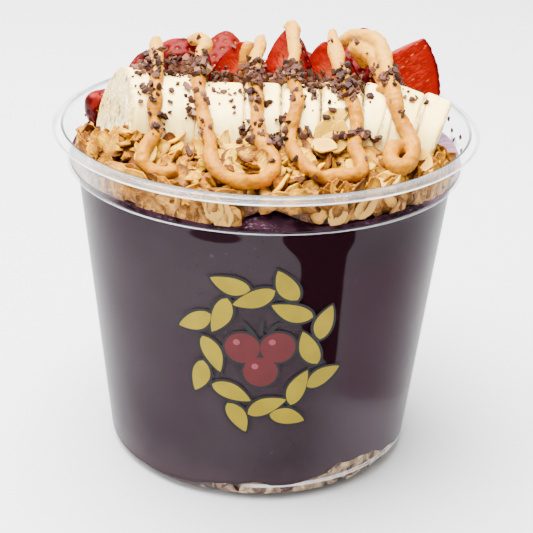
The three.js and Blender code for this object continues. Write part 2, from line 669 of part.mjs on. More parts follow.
function granolaSolid() {
  const bare = fuse([granolaCore(), ...flakesOnTop(random), ...flakesAtWall(random)]).intersect(cavity);
  const surface = [surfaceOf(bare)];
  const laid = [
    ...STRANDS_ON_GRANOLA.map((points) => layStrand(points, surface)),
    ...layAlmonds('granola', surface),
  ];
  const whole = fuse([bare, ...laid.map(({ solid }) => solid)]).intersect(cavity);
  return mainBody(cutAway(whole, [acaiCutter, rowBed, ...onBanana.map(({ cutter }) => cutter)]));
}
const topping = { name: 'granola_topping', matrix: new THREE.Matrix4(), body: granolaSolid() };

/** Scatters nibs over the heap and fuses each to the piece it lands on, unless it would touch another. */
function scatterNibs(pieces) {
  const surfaces = pieces.map(({ body }) => surfaceOf(body));
  const landed = pieces.map(() => []);
  const clearOf = (owner, nib) => pieces.every((piece, order) => order === owner
    || (piece.body.intersect(nib.grown).numTri() === 0
      && landed[order].every((other) => other.spot.distanceTo(nib.spot) > other.size + nib.size)));
  NIB_FIELDS.forEach(({ x, up, halfX, halfUp, count }) => {
    for (let order = 0; order < count; order += 1) {
      const across = x + halfX * (2 * random() - 1);
      const level = up + halfUp * (random() + random() - 1);
      const size = NIB.least + random() * (NIB.most - NIB.least);
      const { hit } = landing(across, level, surfaces);
      const chip = nibSolid(size, random);
      if (hit) {
        const spot = hit.point.clone().add(new THREE.Vector3(0, 0, 0.3));
        const owner = surfaces.indexOf(hit.object);
        const grown = placed(chip.scale(1 + GAP / NIB.least), new THREE.Matrix4().setPosition(spot));
        const nib = { spot, size, grown, solid: placed(chip, new THREE.Matrix4().setPosition(spot)) };
        if (clearOf(owner, nib)) landed[owner].push(nib);
      }
    }
  });
  pieces.forEach((piece, order) => {
    piece.body = mainBody(fuse([piece.body, ...landed[order].map(({ solid }) => solid)]));
  });
}
scatterNibs([...slices, ...berries, topping]);
const acaiFill = acaiSolid.subtract(rowBed);

// ---------------------------------------------------------------- scene graph
function namedMesh(name, geometry, material) {
  const mesh = new THREE.Mesh(geometry, material);
  mesh.name = name;
  return mesh;
}

function pieceMesh({ name, matrix, body }, material) {
  const mesh = namedMesh(name, toGeometry(body, matrix), material);
  mesh.applyMatrix4(matrix);
  return mesh;
}

const fruit = new THREE.Group();
slices.forEach((slice) => fruit.add(pieceMesh(slice, bananaFlesh)));
berries.forEach((berry) => fruit.add(pieceMesh(berry, strawberryFlesh)));

const food = new THREE.Group();
food.add(namedMesh('granola_base', toGeometry(baseLayerSolid), toastedOats));
food.add(namedMesh('acai_fill', toGeometry(acaiFill), acaiBlend));
food.add(pieceMesh(topping, toastedOats));
food.add(fruit);

const acaiBowl = new THREE.Group();
acaiBowl.add(namedMesh('cup', toGeometry(cupSolid()), clearPlastic));
acaiBowl.add(food);

export default acaiBowl;
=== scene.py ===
"""Clear cup of acai blend topped with granola, banana, strawberries, nut butter and cacao nibs."""
import json
import math
import random

import bmesh
import bpy
import numpy as np
from bpy.props import FloatProperty, FloatVectorProperty, IntProperty, PointerProperty
from mathutils import Matrix, Vector, noise
from mathutils.bvhtree import BVHTree
from mathutils.kdtree import KDTree

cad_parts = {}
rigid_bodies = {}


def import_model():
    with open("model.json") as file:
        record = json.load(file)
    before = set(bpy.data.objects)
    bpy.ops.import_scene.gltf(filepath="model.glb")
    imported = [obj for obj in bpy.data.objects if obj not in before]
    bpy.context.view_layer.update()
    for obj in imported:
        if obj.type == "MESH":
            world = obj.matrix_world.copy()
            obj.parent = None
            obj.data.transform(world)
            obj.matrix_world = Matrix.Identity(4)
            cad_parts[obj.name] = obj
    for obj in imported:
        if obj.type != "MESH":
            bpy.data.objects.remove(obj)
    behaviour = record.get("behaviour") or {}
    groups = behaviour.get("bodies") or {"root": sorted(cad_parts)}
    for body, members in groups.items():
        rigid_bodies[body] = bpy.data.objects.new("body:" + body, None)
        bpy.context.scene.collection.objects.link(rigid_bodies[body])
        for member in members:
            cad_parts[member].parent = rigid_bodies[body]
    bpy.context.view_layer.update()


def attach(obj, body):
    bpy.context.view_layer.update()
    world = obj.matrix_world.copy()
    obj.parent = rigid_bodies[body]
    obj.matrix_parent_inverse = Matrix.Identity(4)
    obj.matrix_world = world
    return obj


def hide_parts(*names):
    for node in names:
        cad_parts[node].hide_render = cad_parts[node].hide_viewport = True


bl_info = {
    "name": "Acai Bowl",
    "version": (1, 0, 0),
    "blender": (4, 5, 0),
    "location": "3D View > Sidebar > Acai Bowl",
    "description": "Makes a clear cup of acai blend with its toppings, piece by piece",
    "category": "Add Mesh",
}

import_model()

MM = 0.001
TURN = 2 * math.pi
BODY = "root"

# ---- sizes, in millimetres
CUP_WALL = 0.8
CLEARANCE = 0.12  # of toppings from the plastic
CUP_SIDES = 144
HEEL_RADIUS = 3.8
HEEL_CENTRE = (40.27, HEEL_RADIUS)
WALL_FOOT, WALL_TOP = (44.07, HEEL_RADIUS), (52.4, 84.9)
WALL_SLOPE = (WALL_TOP[0] - WALL_FOOT[0]) / (WALL_TOP[1] - WALL_FOOT[1])
COLLAR_FOOT, COLLAR_TOP = (54.6, 84.9), (55.9, 94.2)
COLLAR_SLOPE = (COLLAR_TOP[0] - COLLAR_FOOT[0]) / (COLLAR_TOP[1] - COLLAR_FOOT[1])
LIP_RADIUS, LIP_TOP, LIP_WIDTH, LIP_HEIGHT, LIP_ROUNDING = 58.5, 96.3, 3.1, 2.1, 0.72
ACAI_SIDES = 180
ACAI_REACH = 54.0  # of the blend's open surface, above the ledge
ACAI_BITE = 0.4  # how far the blend reaches into the plastic, so that no gap shows
BASE_SIDES = 120
BASE_REACH = 43
BASE_FLAKES = 150
BASE_LEVEL = 2.7  # of the granola under the blend where none of it shows
SLICE_Y = -10.4
SLICE_BEVEL = 1.5
# The cut that takes a berry's calyx off slopes up from this far to the side of its axis.
CROWN_SLOPE, CROWN_SIDE = 0.19, 8
# x, z, thickness, radius, lean and turn of each slice, along the row
BANANA_ROW = (
    (-38.2, 96.6, 6.5, 15.4, 15, 20), (-25.6, 95.3, 11.2, 15.3, 5, 8),
    (-12.9, 93.3, 12.9, 15.3, 1, 3), (-1.4, 93.4, 9.6, 15.4, 1, 1),
    (8.7, 93.5, 10.1, 15.2, 1, 0), (19.1, 93.9, 10.5, 15.4, 3, 0),
    (27.2, 94.3, 7.3, 15.3, 10, -2), (33.2, 94.2, 9.6, 15.3, 17, -6),
    (41.4, 92.8, 7.6, 14.7, 16, -12),
)
# calyx end, tip, radius, turn, cut plane, thickness, the side of the cut that is kept and the crown
# that was cut off with the calyx
BERRIES = (
    ((-26.6, 17, 104.8), (-40.4, 12, 94.8), 8.7, 20, 4, 12, -1, 0),
    ((-24.5, 16, 113.6), (-24, 9, 87), 8.2, 5, 2, 11, -1, 0),
    ((-14, 27, 89), (-12.5, 35, 110.8), 10.5, 5, 0, 12, -1, 0),
    ((-7.8, 9.5, 91.5), (-7.6, 17, 113), 10.5, -12, 0, 7, 1, 0),
    ((5.3, 10, 91.5), (5.8, 18.5, 117), 8.6, -30, -2, 9, 1, 0),
    ((18.5, 8, 91.5), (16, 16, 114.2), 10.4, 6, 0, 7, 1, 0),
    ((27, 26, 89), (27.5, 34, 113.4), 10.5, 10, 0, 12, -1, 0),
    ((35, 13.7, 118.2), (45.6, 5, 84.5), 9.3, 4, 1, 7.5, 1, 3.8),
    ((-39.5, 16, 88), (-49.5, 3, 99.5), 7, 35, 3, 10, -1, 0),
    ((-37, 25, 91), (-23, 41, 91), 8.5, -40, 1, 12, -1, 0),
    ((9, 45, 90), (8, 34, 103), 9.5, -8, 0, 10, 1, 0),
)
BLUSHING_BERRY = 2  # the place in the list of the berry whose skin is the brightest red
GRANOLA_FROM, GRANOLA_TO = math.radians(198), math.radians(338)
GRANOLA_GAP = math.radians(272)
FLAKE_REACH = 50.8
CLUSTER_REACH = 50.5
LOOSE_LUMPS = 34
COLLAR_SHADE_FROM, COLLAR_SHADE_TO = 95.4, 93.4  # levels between which the granola turns from its dry colours to painted shade and veil
# Centre and number of lumps of each toasted cluster
CLUSTERS = (
    (-40, -27, 5), (-30, -33, 7), (-34, -26, 5), (-19, -33, 6), (4, -35, 6), (14, -38, 5),
    (37, -29, 6), (30, -35, 5), (22, -42, 4), (-24, -41, 4), (42, -21, 4),
)
# The strands and nibs are laid on the heap along this sloping direction, by places across and up.
TILT = math.radians(25)
LAYING = Vector((0, math.cos(TILT), -math.sin(TILT)))
UPWARD = Vector((0, math.sin(TILT), math.cos(TILT)))
LAYING_START = 300
WREATH_CENTRE, WREATH_REACH, WREATH_LEAVES = (0.4, 49.0), (15.6, 19.6), 16
# The camera's place in metres, its turns in degrees and its lens
CAMERA_PLACE = (0, -0.38343, 0.23056)
CAMERA_PAN, CAMERA_TILT, CAMERA_ROLL = -0.20, 64.94, 1.91
CAMERA_LENS = 99.22
# Name, place, width and height of each softbox, in metres, and what they are aimed at
OVERHEAD_SOFTBOX = ("overhead_softbox", (-0.15, 0.05, 0.95), 1.0, 0.8)
SIDE_SOFTBOX = ("side_softbox", (-0.9, -0.55, 0.5), 0.6, 0.9)
LAMP_AIM = Vector((0, 0, 0.06))


# ---- node trees
class Flow:
    """A socket that takes part in sums."""

    def __init__(self, tree, socket):
        self.tree, self.socket = tree, socket

    def _sum(self, operation, first, second):
        kinds = {part.socket.type for part in (first, second) if isinstance(part, Flow)}
        if "RGBA" in kinds:
            return self.tree.node("ShaderNodeMix", {"data_type": "RGBA", "blend_type": operation},
                                  {0: 1.0, 6: first, 7: second}, 2)
        kind = "ShaderNodeVectorMath" if "VECTOR" in kinds else "ShaderNodeMath"
        return self.tree.node(kind, {"operation": operation}, {0: first, 1: second})

    def __add__(self, other):
        return self._sum("ADD", self, other)

    def __radd__(self, other):
        return self._sum("ADD", other, self)

    def __sub__(self, other):
        return self._sum("SUBTRACT", self, other)

    def __rsub__(self, other):
        return self._sum("SUBTRACT", other, self)

    def __mul__(self, other):
        return self._sum("MULTIPLY", self, other)

    def __rmul__(self, other):
        return self._sum("MULTIPLY", other, self)

    def __truediv__(self, other):
        return self._sum("DIVIDE", self, other)

    def __pow__(self, other):
        return self._sum("POWER", self, other)


class Tree:
    """A node tree, written one node at a time."""

    def __init__(self, tree):
        self.tree = tree
        tree.nodes.clear()

    def node(self, kind, settings=None, inputs=None, output=0):
        """Adds a node: its settings first, then what its sockets hold, and returns one output."""
        made = self.tree.nodes.new(kind)
        for key, value in (settings or {}).items():
            if key == "stops":
                ramp = made.color_ramp
                while len(ramp.elements) < len(value):
                    ramp.elements.new(0.5)
                for stop, (place, colour) in zip(ramp.elements, value):
                    stop.position, stop.color = place, four(colour)
            elif key == "spread":
                made.color_ramp.interpolation = value
            else:
                setattr(made, key, value)
        for key, value in (inputs or {}).items():
            self.feed(made.inputs[key], value)
        return Flow(self, made.outputs[output]) if made.outputs else None

    def feed(self, socket, value):
        """Links a flow to a socket, or sets the socket's own value."""
        if isinstance(value, Flow):
            self.tree.links.new(value.socket, socket)
        elif socket.type == "RGBA":
            socket.default_value = four(value)
        elif socket.type == "VECTOR" and isinstance(value, (int, float)):
            socket.default_value = (value,) * 3
        else:
            socket.default_value = value


def four(colour):
    """A grey value or a colour as red, green, blue and full opacity."""
    if isinstance(colour, (int, float)):
        return (colour,) * 3 + (1.0,)
    return (*tuple(colour)[:3], 1.0)


class Finish(Tree):
    """A material and the patterns that it is made of. Pattern sizes are in millimetres."""

    def __init__(self, name):
        self.material = bpy.data.materials.new(name)
        self.material.use_nodes = True
        super().__init__(self.material.node_tree)
        self.place = self.node("ShaderNodeTexCoord", output="Object")

    def along(self):
        """The three coordinates of a place, in millimetres."""
        split = self.node("ShaderNodeSeparateXYZ", inputs={0: self.place * 1000.0})
        return [Flow(self, socket) for socket in split.socket.node.outputs]

    def attribute(self, name, output="Fac"):
        return self.node("ShaderNodeAttribute", {"attribute_name": name}, output=output)

    def scaled(self, vector, size, stretch):
        return (vector or self.place) * tuple(1000.0 / size * part for part in three(stretch))

    def cloud(self, size, detail=2.0, vector=None, stretch=1.0, twist=0.0):
        """Noise whose blots are about the given size."""
        return self.node("ShaderNodeTexNoise", inputs={
            "Vector": self.scaled(vector, size, stretch), "Scale": 1.0, "Detail": detail,
            "Distortion": twist})

    def cells(self, size, vector=None, stretch=1.0):
        """Distance from the middle of the nearest cell."""
        return self.node("ShaderNodeTexVoronoi", inputs={
            "Vector": self.scaled(vector, size, stretch), "Scale": 1.0})

    def patches(self, size, detail, low, high, **pattern):
        """Soft patches: 0 where the noise is under low, 1 where it is over high."""
        return self.span(self.cloud(size, detail, **pattern), low, high)

    def span(self, value, low, high, to_low=0.0, to_high=1.0):
        """Rises smoothly from to_low to to_high while the value goes from low to high."""
        inputs = {0: value, 1: low, 2: high, 3: to_low, 4: to_high}
        return self.node("ShaderNodeMapRange", {"interpolation_type": "SMOOTHSTEP"}, inputs)

    def ramp(self, value, stops, spread="LINEAR"):
        return self.node("ShaderNodeValToRGB", {"stops": stops, "spread": spread}, {0: value})

    def blend(self, share, low, high):
        return self.node("ShaderNodeMix", {"data_type": "RGBA"}, {0: share, 6: low, 7: high}, 2)

    def layer(self, base, *coats):
        """A base colour under coats, each a share and a colour."""
        for share, colour in coats:
            base = self.blend(share, base, colour)
        return base

    def most(self, first, second):
        return self.node("ShaderNodeMath", {"operation": "MAXIMUM"}, {0: first, 1: second})

    def bump(self, height, depth, strength=1.0):
        """A normal from a height pattern of 0 to 1 that is depth millimetres deep."""
        return self.node("ShaderNodeBump", inputs={
            "Strength": strength, "Distance": depth * MM, "Height": height})

    def close(self, **sockets):
        """Ends the material in a Principled surface with these sockets."""
        names = {"color": "Base Color", "ior": "IOR", "specular": "Specular IOR Level",
                 "subsurface": "Subsurface Weight", "reach": "Subsurface Radius",
                 "reach_scale": "Subsurface Scale"}
        inputs = {names.get(key, key.title()): value for key, value in sockets.items()}
        shader = self.node("ShaderNodeBsdfPrincipled", inputs=inputs)
        self.node("ShaderNodeOutputMaterial", inputs={"Surface": shader})
        return self.material


def three(value):
    """A number three times over; anything else as it is."""
    return (value,) * 3 if isinstance(value, (int, float)) else value


def open_group(name, **inputs):
    """A geometry node group with these inputs and their kinds, its tree and its inputs to use."""
    group = bpy.data.node_groups.new(name, "GeometryNodeTree")
    group.is_modifier = True
    tree = Tree(group)
    for key, kind in inputs.items():
        group.interface.new_socket(key, in_out="INPUT", socket_type="NodeSocket" + kind)
    group.interface.new_socket("Geometry", in_out="OUTPUT", socket_type="NodeSocketGeometry")
    start = tree.node("NodeGroupInput").socket.node
    return group, tree, {key: Flow(tree, start.outputs[key]) for key in inputs}


def close_group(tree, geometry, material):
    """Ends a group in real geometry with its material."""
    solid = tree.node("GeometryNodeRealizeInstances", inputs={"Geometry": geometry})
    dressed = tree.node("GeometryNodeSetMaterial", inputs={"Geometry": solid, "Material": material})
    tree.node("NodeGroupOutput", inputs={0: dressed})


def run_group(piece, group, **values):
    """Puts a group on a piece as a modifier, its inputs set by the sockets' identifiers."""
    modifier = piece.modifiers.new(group.name, "NODES")
    modifier.node_group = group
    for socket in group.interface.items_tree:
        if socket.in_out == "INPUT" and socket.name in values:
            modifier[socket.identifier] = values[socket.name]


# ---- meshes
def put(name, data):
    """A new object in the scene."""
    made = bpy.data.objects.new(name, data)
    bpy.context.scene.collection.objects.link(made)
    return made


def new_piece(name, points, faces, material, crease=None, attributes=None):
    """A smooth mesh object from points in millimetres."""
    mesh = bpy.data.meshes.new(name)
    mesh.from_pydata([[part * MM for part in point] for point in points], [], faces)
    mesh.validate()
    for key, values in (attributes or {}).items():
        add_attribute(mesh, key, values)
    mesh.shade_smooth()
    if crease is not None:
        mesh.set_sharp_from_angle(angle=math.radians(crease))
    if material is not None:
        mesh.materials.append(material)
    return put(name, mesh)


def add_attribute(mesh, key, values):
    """Stores a number or a vector at each point of a mesh."""
    values = np.asarray(values, np.float32)
    kind = "FLOAT" if values.ndim == 1 else "FLOAT_VECTOR"
    attribute = mesh.attributes.new(key, kind, "POINT")
    attribute.data.foreach_set("value" if kind == "FLOAT" else "vector", values.ravel())


def points_of(mesh):
    """The vertices of a mesh, in millimetres."""
    found = np.zeros(len(mesh.vertices) * 3, np.float32)
    mesh.vertices.foreach_get("co", found)
    return found.reshape(-1, 3) / MM


def move_points(mesh, spots):
    """Sets the vertices of a mesh, in millimetres."""
    mesh.vertices.foreach_set("co", (spots * MM).astype(np.float32).ravel())
    mesh.update()


def settle(piece, slot, *nodes):
    """Ties a finished piece to the body and hides the solids that it stands for; the slot is not
    used.
    """
    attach(piece, BODY)
    if nodes:
        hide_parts(*nodes)


def bake_modifiers(piece):
    """Applies a piece's modifiers to its mesh."""
    graph = bpy.context.evaluated_depsgraph_get()
    graph.update()
    mesh = bpy.data.meshes.new_from_object(piece.evaluated_get(graph),
                                           preserve_all_data_layers=True, depsgraph=graph)
    old, name = piece.data, piece.data.name
    piece.modifiers.clear()
    piece.data = mesh
    bpy.data.meshes.remove(old)
    mesh.name = name


def soften(piece, voxel, rounds):
    """Gives a piece an even mesh and smooths it."""
    remesh = piece.modifiers.new("Even", "REMESH")
    remesh.mode, remesh.voxel_size = "VOXEL", voxel * MM
    smooth = piece.modifiers.new("Soft", "SMOOTH")
    smooth.factor, smooth.iterations = 0.5, rounds
    bake_modifiers(piece)


def revolve(rings, closed_start=True, closed_end=True):
    """Points and faces of a skin through rings of equal length, each end closed by a fan."""
    count = len(rings[0])
    points = [point for ring in rings for point in ring]
    faces = []
    for row in range(len(rings) - 1):
        for side in range(count):
            follow = (side + 1) % count
            base = row * count
            faces.append((base + side, base + follow, base + count + follow, base + count + side))
    for closed, start, flip in ((closed_start, 0, True), (closed_end, len(points) - count, False)):
        if closed:
            ring = points[start:start + count]
            points.append(tuple(sum(part) / count for part in zip(*ring)))
            pole = len(points) - 1
            for side in range(count):
                edge = (start + side, start + (side + 1) % count)
                faces.append((*(edge[::-1] if flip else edge), pole))
    return points, faces


def ring_at(radius, level, count):
    """A level ring round the axis; radius and level may be functions of the turn."""
    turns = [TURN * side / count for side in range(count)]
    return [(*on_circle(pick(radius, turn), turn), pick(level, turn)) for turn in turns]


def on_circle(reach, turn):
    """The x and y of a place by its reach and turn."""
    return reach * math.cos(turn), reach * math.sin(turn)


def polar(reach, turn, level):
    """A place by its reach and turn round the upright axis."""
    return Vector((*on_circle(reach, turn), level))


def pick(value, turn):
    """A value, or what a function gives at a turn."""
    return value(turn) if callable(value) else value


def numbered(stem, rows):
    """The names stem_1, stem_2 and so on, one for each row."""
    return [f"{stem}_{order + 1}" for order in range(len(rows))]


def smoothstep(value):
    """0 up to 0, 1 from 1 on, and a smooth rise between."""
    value = min(max(value, 0.0), 1.0)
    return value * value * (3 - 2 * value)


def bump_at(turn, centre, half_width):
    """1 at a turn round the cup, falling to 0 at half_width degrees from it."""
    away = abs((turn - math.radians(centre) + math.pi) % TURN - math.pi)
    return smoothstep(1 - away / math.radians(half_width))


# ---- scattering
def scatter_group():
    """Geometry nodes that set shapes on points and turn them into one mesh."""
    group, tree, given = open_group("Scatter", Geometry="Geometry", Shapes="Collection",
                                    Scale="Float", Variation="Float", Seed="Int",
                                    Material="Material")

    def named(name, kind):
        return tree.node("GeometryNodeInputNamedAttribute", {"data_type": kind}, {"Name": name})

    shapes = tree.node("GeometryNodeCollectionInfo", inputs={
        "Collection": given["Shapes"], "Separate Children": True, "Reset Children": True})
    spread = tree.node("FunctionNodeRandomValue", {"data_type": "FLOAT"}, {
        2: 1.0 - given["Variation"], 3: 1.0 + given["Variation"], "Seed": given["Seed"]}, 1)
    turn = tree.node("FunctionNodeEulerToRotation", inputs={0: named("turn", "FLOAT_VECTOR")})
    placed = tree.node("GeometryNodeInstanceOnPoints", inputs={
        "Points": given["Geometry"], "Instance": shapes, "Pick Instance": True,
        "Instance Index": named("kind", "INT"), "Rotation": turn,
        "Scale": named("size", "FLOAT_VECTOR") * spread * given["Scale"]})
    close_group(tree, placed, given["Material"])
    return group


def scatter(name, spots, shapes, material, seed, variation=0.12):
    """One mesh piece of shapes at spots. A spot is (place, basis, size, kind, tone)."""
    mesh = bpy.data.meshes.new(name)
    mesh.from_pydata([spot[0] * MM for spot in spots], [], [])
    add_attribute(mesh, "turn", [list(spot[1].to_euler()) for spot in spots])
    add_attribute(mesh, "size", [list(spot[2]) for spot in spots])
    add_attribute(mesh, "tone", [spot[4] for spot in spots])
    kinds = mesh.attributes.new("kind", "INT", "POINT")
    kinds.data.foreach_set("value", [spot[3] for spot in spots])
    piece = put(name, mesh)
    box = bpy.data.collections.new(name + "_shapes")
    for order, (points, faces, attributes) in enumerate(shapes):
        shape = new_piece(f"{name}_shape_{order:02d}", points, faces, None, 40, attributes)
        bpy.context.scene.collection.objects.unlink(shape)
        box.objects.link(shape)
    run_group(piece, bpy.data.node_groups.get("Scatter") or scatter_group(), Shapes=box, Scale=1.0,
              Variation=variation, Seed=seed, Material=material)
    bake_modifiers(piece)
    piece.data.materials.clear()
    piece.data.materials.append(material)
    piece.data.polygons.foreach_set("material_index", [0] * len(piece.data.polygons))
    for shape in list(box.objects):
        old = shape.data
        bpy.data.objects.remove(shape)
        bpy.data.meshes.remove(old)
    bpy.data.collections.remove(box)
    return piece


def stray(rng, across, back, up):
    """A random offset of up to these amounts each way."""
    return Vector([rng.uniform(-most, most) if most else 0 for most in (across, back, up)])


def facing_basis(normal, spin):
    """A rotation that turns +Z to a normal after a spin about +Z."""
    lift = Vector((0, 0, 1)).rotation_difference(Vector(normal).normalized())
    return lift.to_matrix() @ Matrix.Rotation(spin, 3, "Z")


def chip_shape(rng, wobble, curl, crease, thick, rings=(0.55, 1.0), sides=12, taper=0.0, notch=0.0):
    """A thin oval chip of unit half length and width, whose heights are in millimetres."""
    phases = [rng.uniform(0, TURN) for _ in range(4)]
    twist = curl * rng.uniform(-0.6, 0.6)

    def outline(turn):
        reach = 1 + wobble * (math.cos(2 * turn + phases[0]) + 0.8 * math.cos(3 * turn + phases[1])
                              + 0.6 * math.cos(5 * turn + phases[2]))
        away = (turn - phases[3] + math.pi) % TURN - math.pi
        reach -= notch * math.exp(-((away / 0.35) ** 2))
        return reach * (1 - taper * smoothstep(math.cos(turn)) * abs(math.sin(turn)))

    def rise(x, y):
        return curl * (x * x - 0.5 * y * y) + twist * x * y - crease * math.exp(-((y / 0.2) ** 2))

    steps = [(share, 0.5) for share in rings] + [(1.05, 0.0)] + [(s, -0.5) for s in rings[::-1]]
    layers, local = [], []
    for share, side in reversed(steps):
        ring = []
        for number in range(sides):
            turn = TURN * number / sides
            x, y = on_circle(share * outline(turn), turn)
            thin = thick * (1 if share < 1 else 0.6)
            ring.append((x, y, rise(x, y) + side * thin))
            local.append((x, y, share))
        layers.append(ring)
    points, faces = revolve(layers)
    return points, faces, {"local": local + [(0, 0, 0), (0, 0, 0)]}


def parts_of(work):
    """Points and faces of a working mesh, which is freed, and no attributes."""
    points = [tuple(vertex.co) for vertex in work.verts]
    faces = [tuple(vertex.index for vertex in face.verts) for face in work.faces]
    work.free()
    return points, faces, {}


def lump_shape(rng, roughness, detail):
    """A lumpy ball of unit radius."""
    shape = bmesh.new()
    bmesh.ops.create_icosphere(shape, subdivisions=detail, radius=1)
    shift = Vector((rng.uniform(-50, 50), rng.uniform(-50, 50), rng.uniform(-50, 50)))
    for vertex in shape.verts:
        swell = noise.noise(vertex.co * 1.3 + shift) + 0.5 * noise.noise(vertex.co * 3.1 + shift)
        vertex.co *= 1 + roughness * swell
    return parts_of(shape)


def shard_shape(rng, corners):
    """A chipped angular shard of about unit radius."""
    shape = bmesh.new()
    for _ in range(corners):
        spot = Vector((rng.gauss(0, 1), rng.gauss(0, 1), rng.gauss(0, 1))).normalized()
        shape.verts.new(spot * rng.uniform(0.75, 1.05))
    made = bmesh.ops.convex_hull(shape, input=shape.verts)
    bmesh.ops.delete(shape, geom=[v for v in made["geom_interior"] if v.is_valid], context="VERTS")
    bmesh.ops.recalc_face_normals(shape, faces=shape.faces)
    shape.verts.index_update()
    return parts_of(shape)


# ---- shapes of the cup and fills
def wall_radius(level):
    """Outer radius of the cup's wall below the ledge."""
    if level < HEEL_RADIUS:
        drop = HEEL_RADIUS - max(level, 0)
        return HEEL_CENTRE[0] + math.sqrt(HEEL_RADIUS ** 2 - drop ** 2)
    return WALL_FOOT[0] + WALL_SLOPE * (level - WALL_FOOT[1])


def collar_radius(level):
    """Outer radius of the collar above the ledge."""
    return COLLAR_FOOT[0] + COLLAR_SLOPE * (level - COLLAR_FOOT[1])


def acai_top(x, y):
    """Level of the blend's open surface."""
    mound = math.exp(-((x / 27) ** 2) - ((y - 12) / 13) ** 2)
    return 86.9 + 3.6 * mound + 0.35 * math.sin(x / 6 + 1) * math.cos(y / 7)


def base_top(x, y):
    """Level of the granola at the foot, highest at the front right."""
    turn = math.atan2(y, x)
    reach = math.hypot(x, y) / WALL_FOOT[0]
    waves = 0.5 * math.sin(7 * turn + 1) + 0.3 * math.sin(11 * turn)
    return 6.8 + reach * (2.2 * math.cos(turn - math.radians(310)) + waves)


def base_shows(turn):
    """How much of the lower granola shows through the wall at a turn round the cup."""
    front = max(bump_at(turn, 308, 46), 0.55 * bump_at(turn, 268, 34))
    return max(front, 0.8 * bump_at(turn, 75, 40), 0.7 * bump_at(turn, 170, 30))


def granola_top(x, y):
    """Level of the crescent, with a bank at the left."""
    reach = math.hypot(x, y)
    lumps = 0.8 * math.sin(x / 3.1) * math.cos(y / 3.7) + 0.5 * math.sin(x / 1.9 + y / 2.3)
    bank = 4 * math.exp(-((x + 38) / 13) ** 2 - ((y + 26) / 12) ** 2)
    return 92.3 + 0.21 * (COLLAR_FOOT[0] - reach) + bank + lumps


def front_gap(turn):
    """1 where the crescent stands back from the collar in front, falling to 0 beside it."""
    return math.exp(-((turn - GRANOLA_GAP) / math.radians(9)) ** 2)


def cup_profile():
    """Radius and level round the shell, from the middle of the foot out, up and back inside."""
    def heel(radius, steps=8):
        lean = -math.atan(WALL_SLOPE)
        turns = [-math.pi / 2 + step / steps * (lean + math.pi / 2) for step in range(steps + 1)]
        return [(HEEL_CENTRE[0] + radius * math.cos(turn), HEEL_CENTRE[1] + radius * math.sin(turn))
                for turn in turns]

    walls = [5, 20, 35, 50, 65, 80, 83.4]
    outside = [(0.01, 1.2), (18, 1.2), (34.9, 1.2), (35.6, 1.05), (36.5, 0.2), (37.2, 0)]
    outside += heel(HEEL_RADIUS) + [(wall_radius(level), level) for level in walls[1:]]
    outside += [(52.42, 84.35), (52.75, 84.75), (53.2, 84.88), (53.9, 84.9), (54.35, 85.02),
                (54.6, 85.4), (54.72, 86.2), (55.3, 90), (55.9, 94.3), (55.95, 95.3)]
    inside = [(55.15, 95.3), (55.1, 94.2), (54.5, 90), (53.95, 86.6), (53.78, 86.0), (53.4, 85.75),
              (52.4, 85.68), (51.9, 85.55), (51.55, 85.1), (51.45, 84.2)]
    inside += [(wall_radius(level) - CUP_WALL, level) for level in walls[-1:0:-1]]
    inside += heel(HEEL_RADIUS - CUP_WALL)[::-1]
    inside += [(37.6, 0.8), (36.9, 1.0), (36.2, 1.85), (35.5, 2.0), (18, 2.0)]
    return outside + inside + [(0.01, 2.0)]


# ---- operators
class Maker:
    """What the operators share."""
    bl_options = {"REGISTER", "UNDO"}

    def execute(self, context):
        self.make(context.scene.acai_bowl)
        return {"FINISHED"}


def plastic_finish(look):
    """Clear plastic: reflections that grow at grazing angles, painted highlight lines along the
    ledge and the heel, a whiter veil at the left of the collar, and smears.
    """
    finish = Finish("shell_plastic")
    x, y, z = finish.along()
    slant = finish.node("ShaderNodeLayerWeight", inputs={"Blend": 0.5}, output=1)
    # Painted highlights: a bright line along the ledge, strongest in front, and a short one on the
    # heel right of the middle.
    ledge = (finish.span(z, 84.1, 84.5) * finish.span(z, 85.7, 85.1)
             * finish.span(x, -18.0, 6.0, 1.0, 0.5))
    heel = finish.span(z, 4.8, 5.1) * finish.span(z, 5.7, 5.4) * finish.span(x, -5.0, 1.0)
    uneven = finish.span(finish.cloud(14.0, 2.0, stretch=(1, 1, 0.3)), 0.3, 0.75, 0.45, 1.0)
    collar = finish.span(z, 85.4, 86.4)
    smear = finish.patches(7.0, 4.0, 0.56, 0.68, stretch=(1, 1, 1.6), twist=0.8)
    smear = smear * collar * finish.span(z, 91.5, 87.0) * finish.span(y, -16.0, 4.0) * 0.5
    # A whiter veil on the collar at the left front.
    left_veil = collar * finish.span(x, -34.0, -50.0) * finish.span(y, 0.0, -10.0) * 0.2
    # The haze adds up the painted highlight lines and the left veil.
    haze = ledge * 0.85 * uneven * finish.span(y, 30.0, -10.0) + heel * 0.5 + left_veil * uneven
    veil = slant ** 6.0 * look.shine * (1.0 - collar * 0.4) * finish.span(z, 1.0, 6.0, 0.25, 1.0)
    share = finish.most(veil + haze, smear)
    color = finish.blend(smear * 1.8, look.plastic_color, (0.16, 0.03, 0.08))
    return finish.close(color=color, metallic=finish.span(share, 0.02, 0.3, 0.9, 0.55),
                        roughness=0.07, alpha=share, ior=1.46)


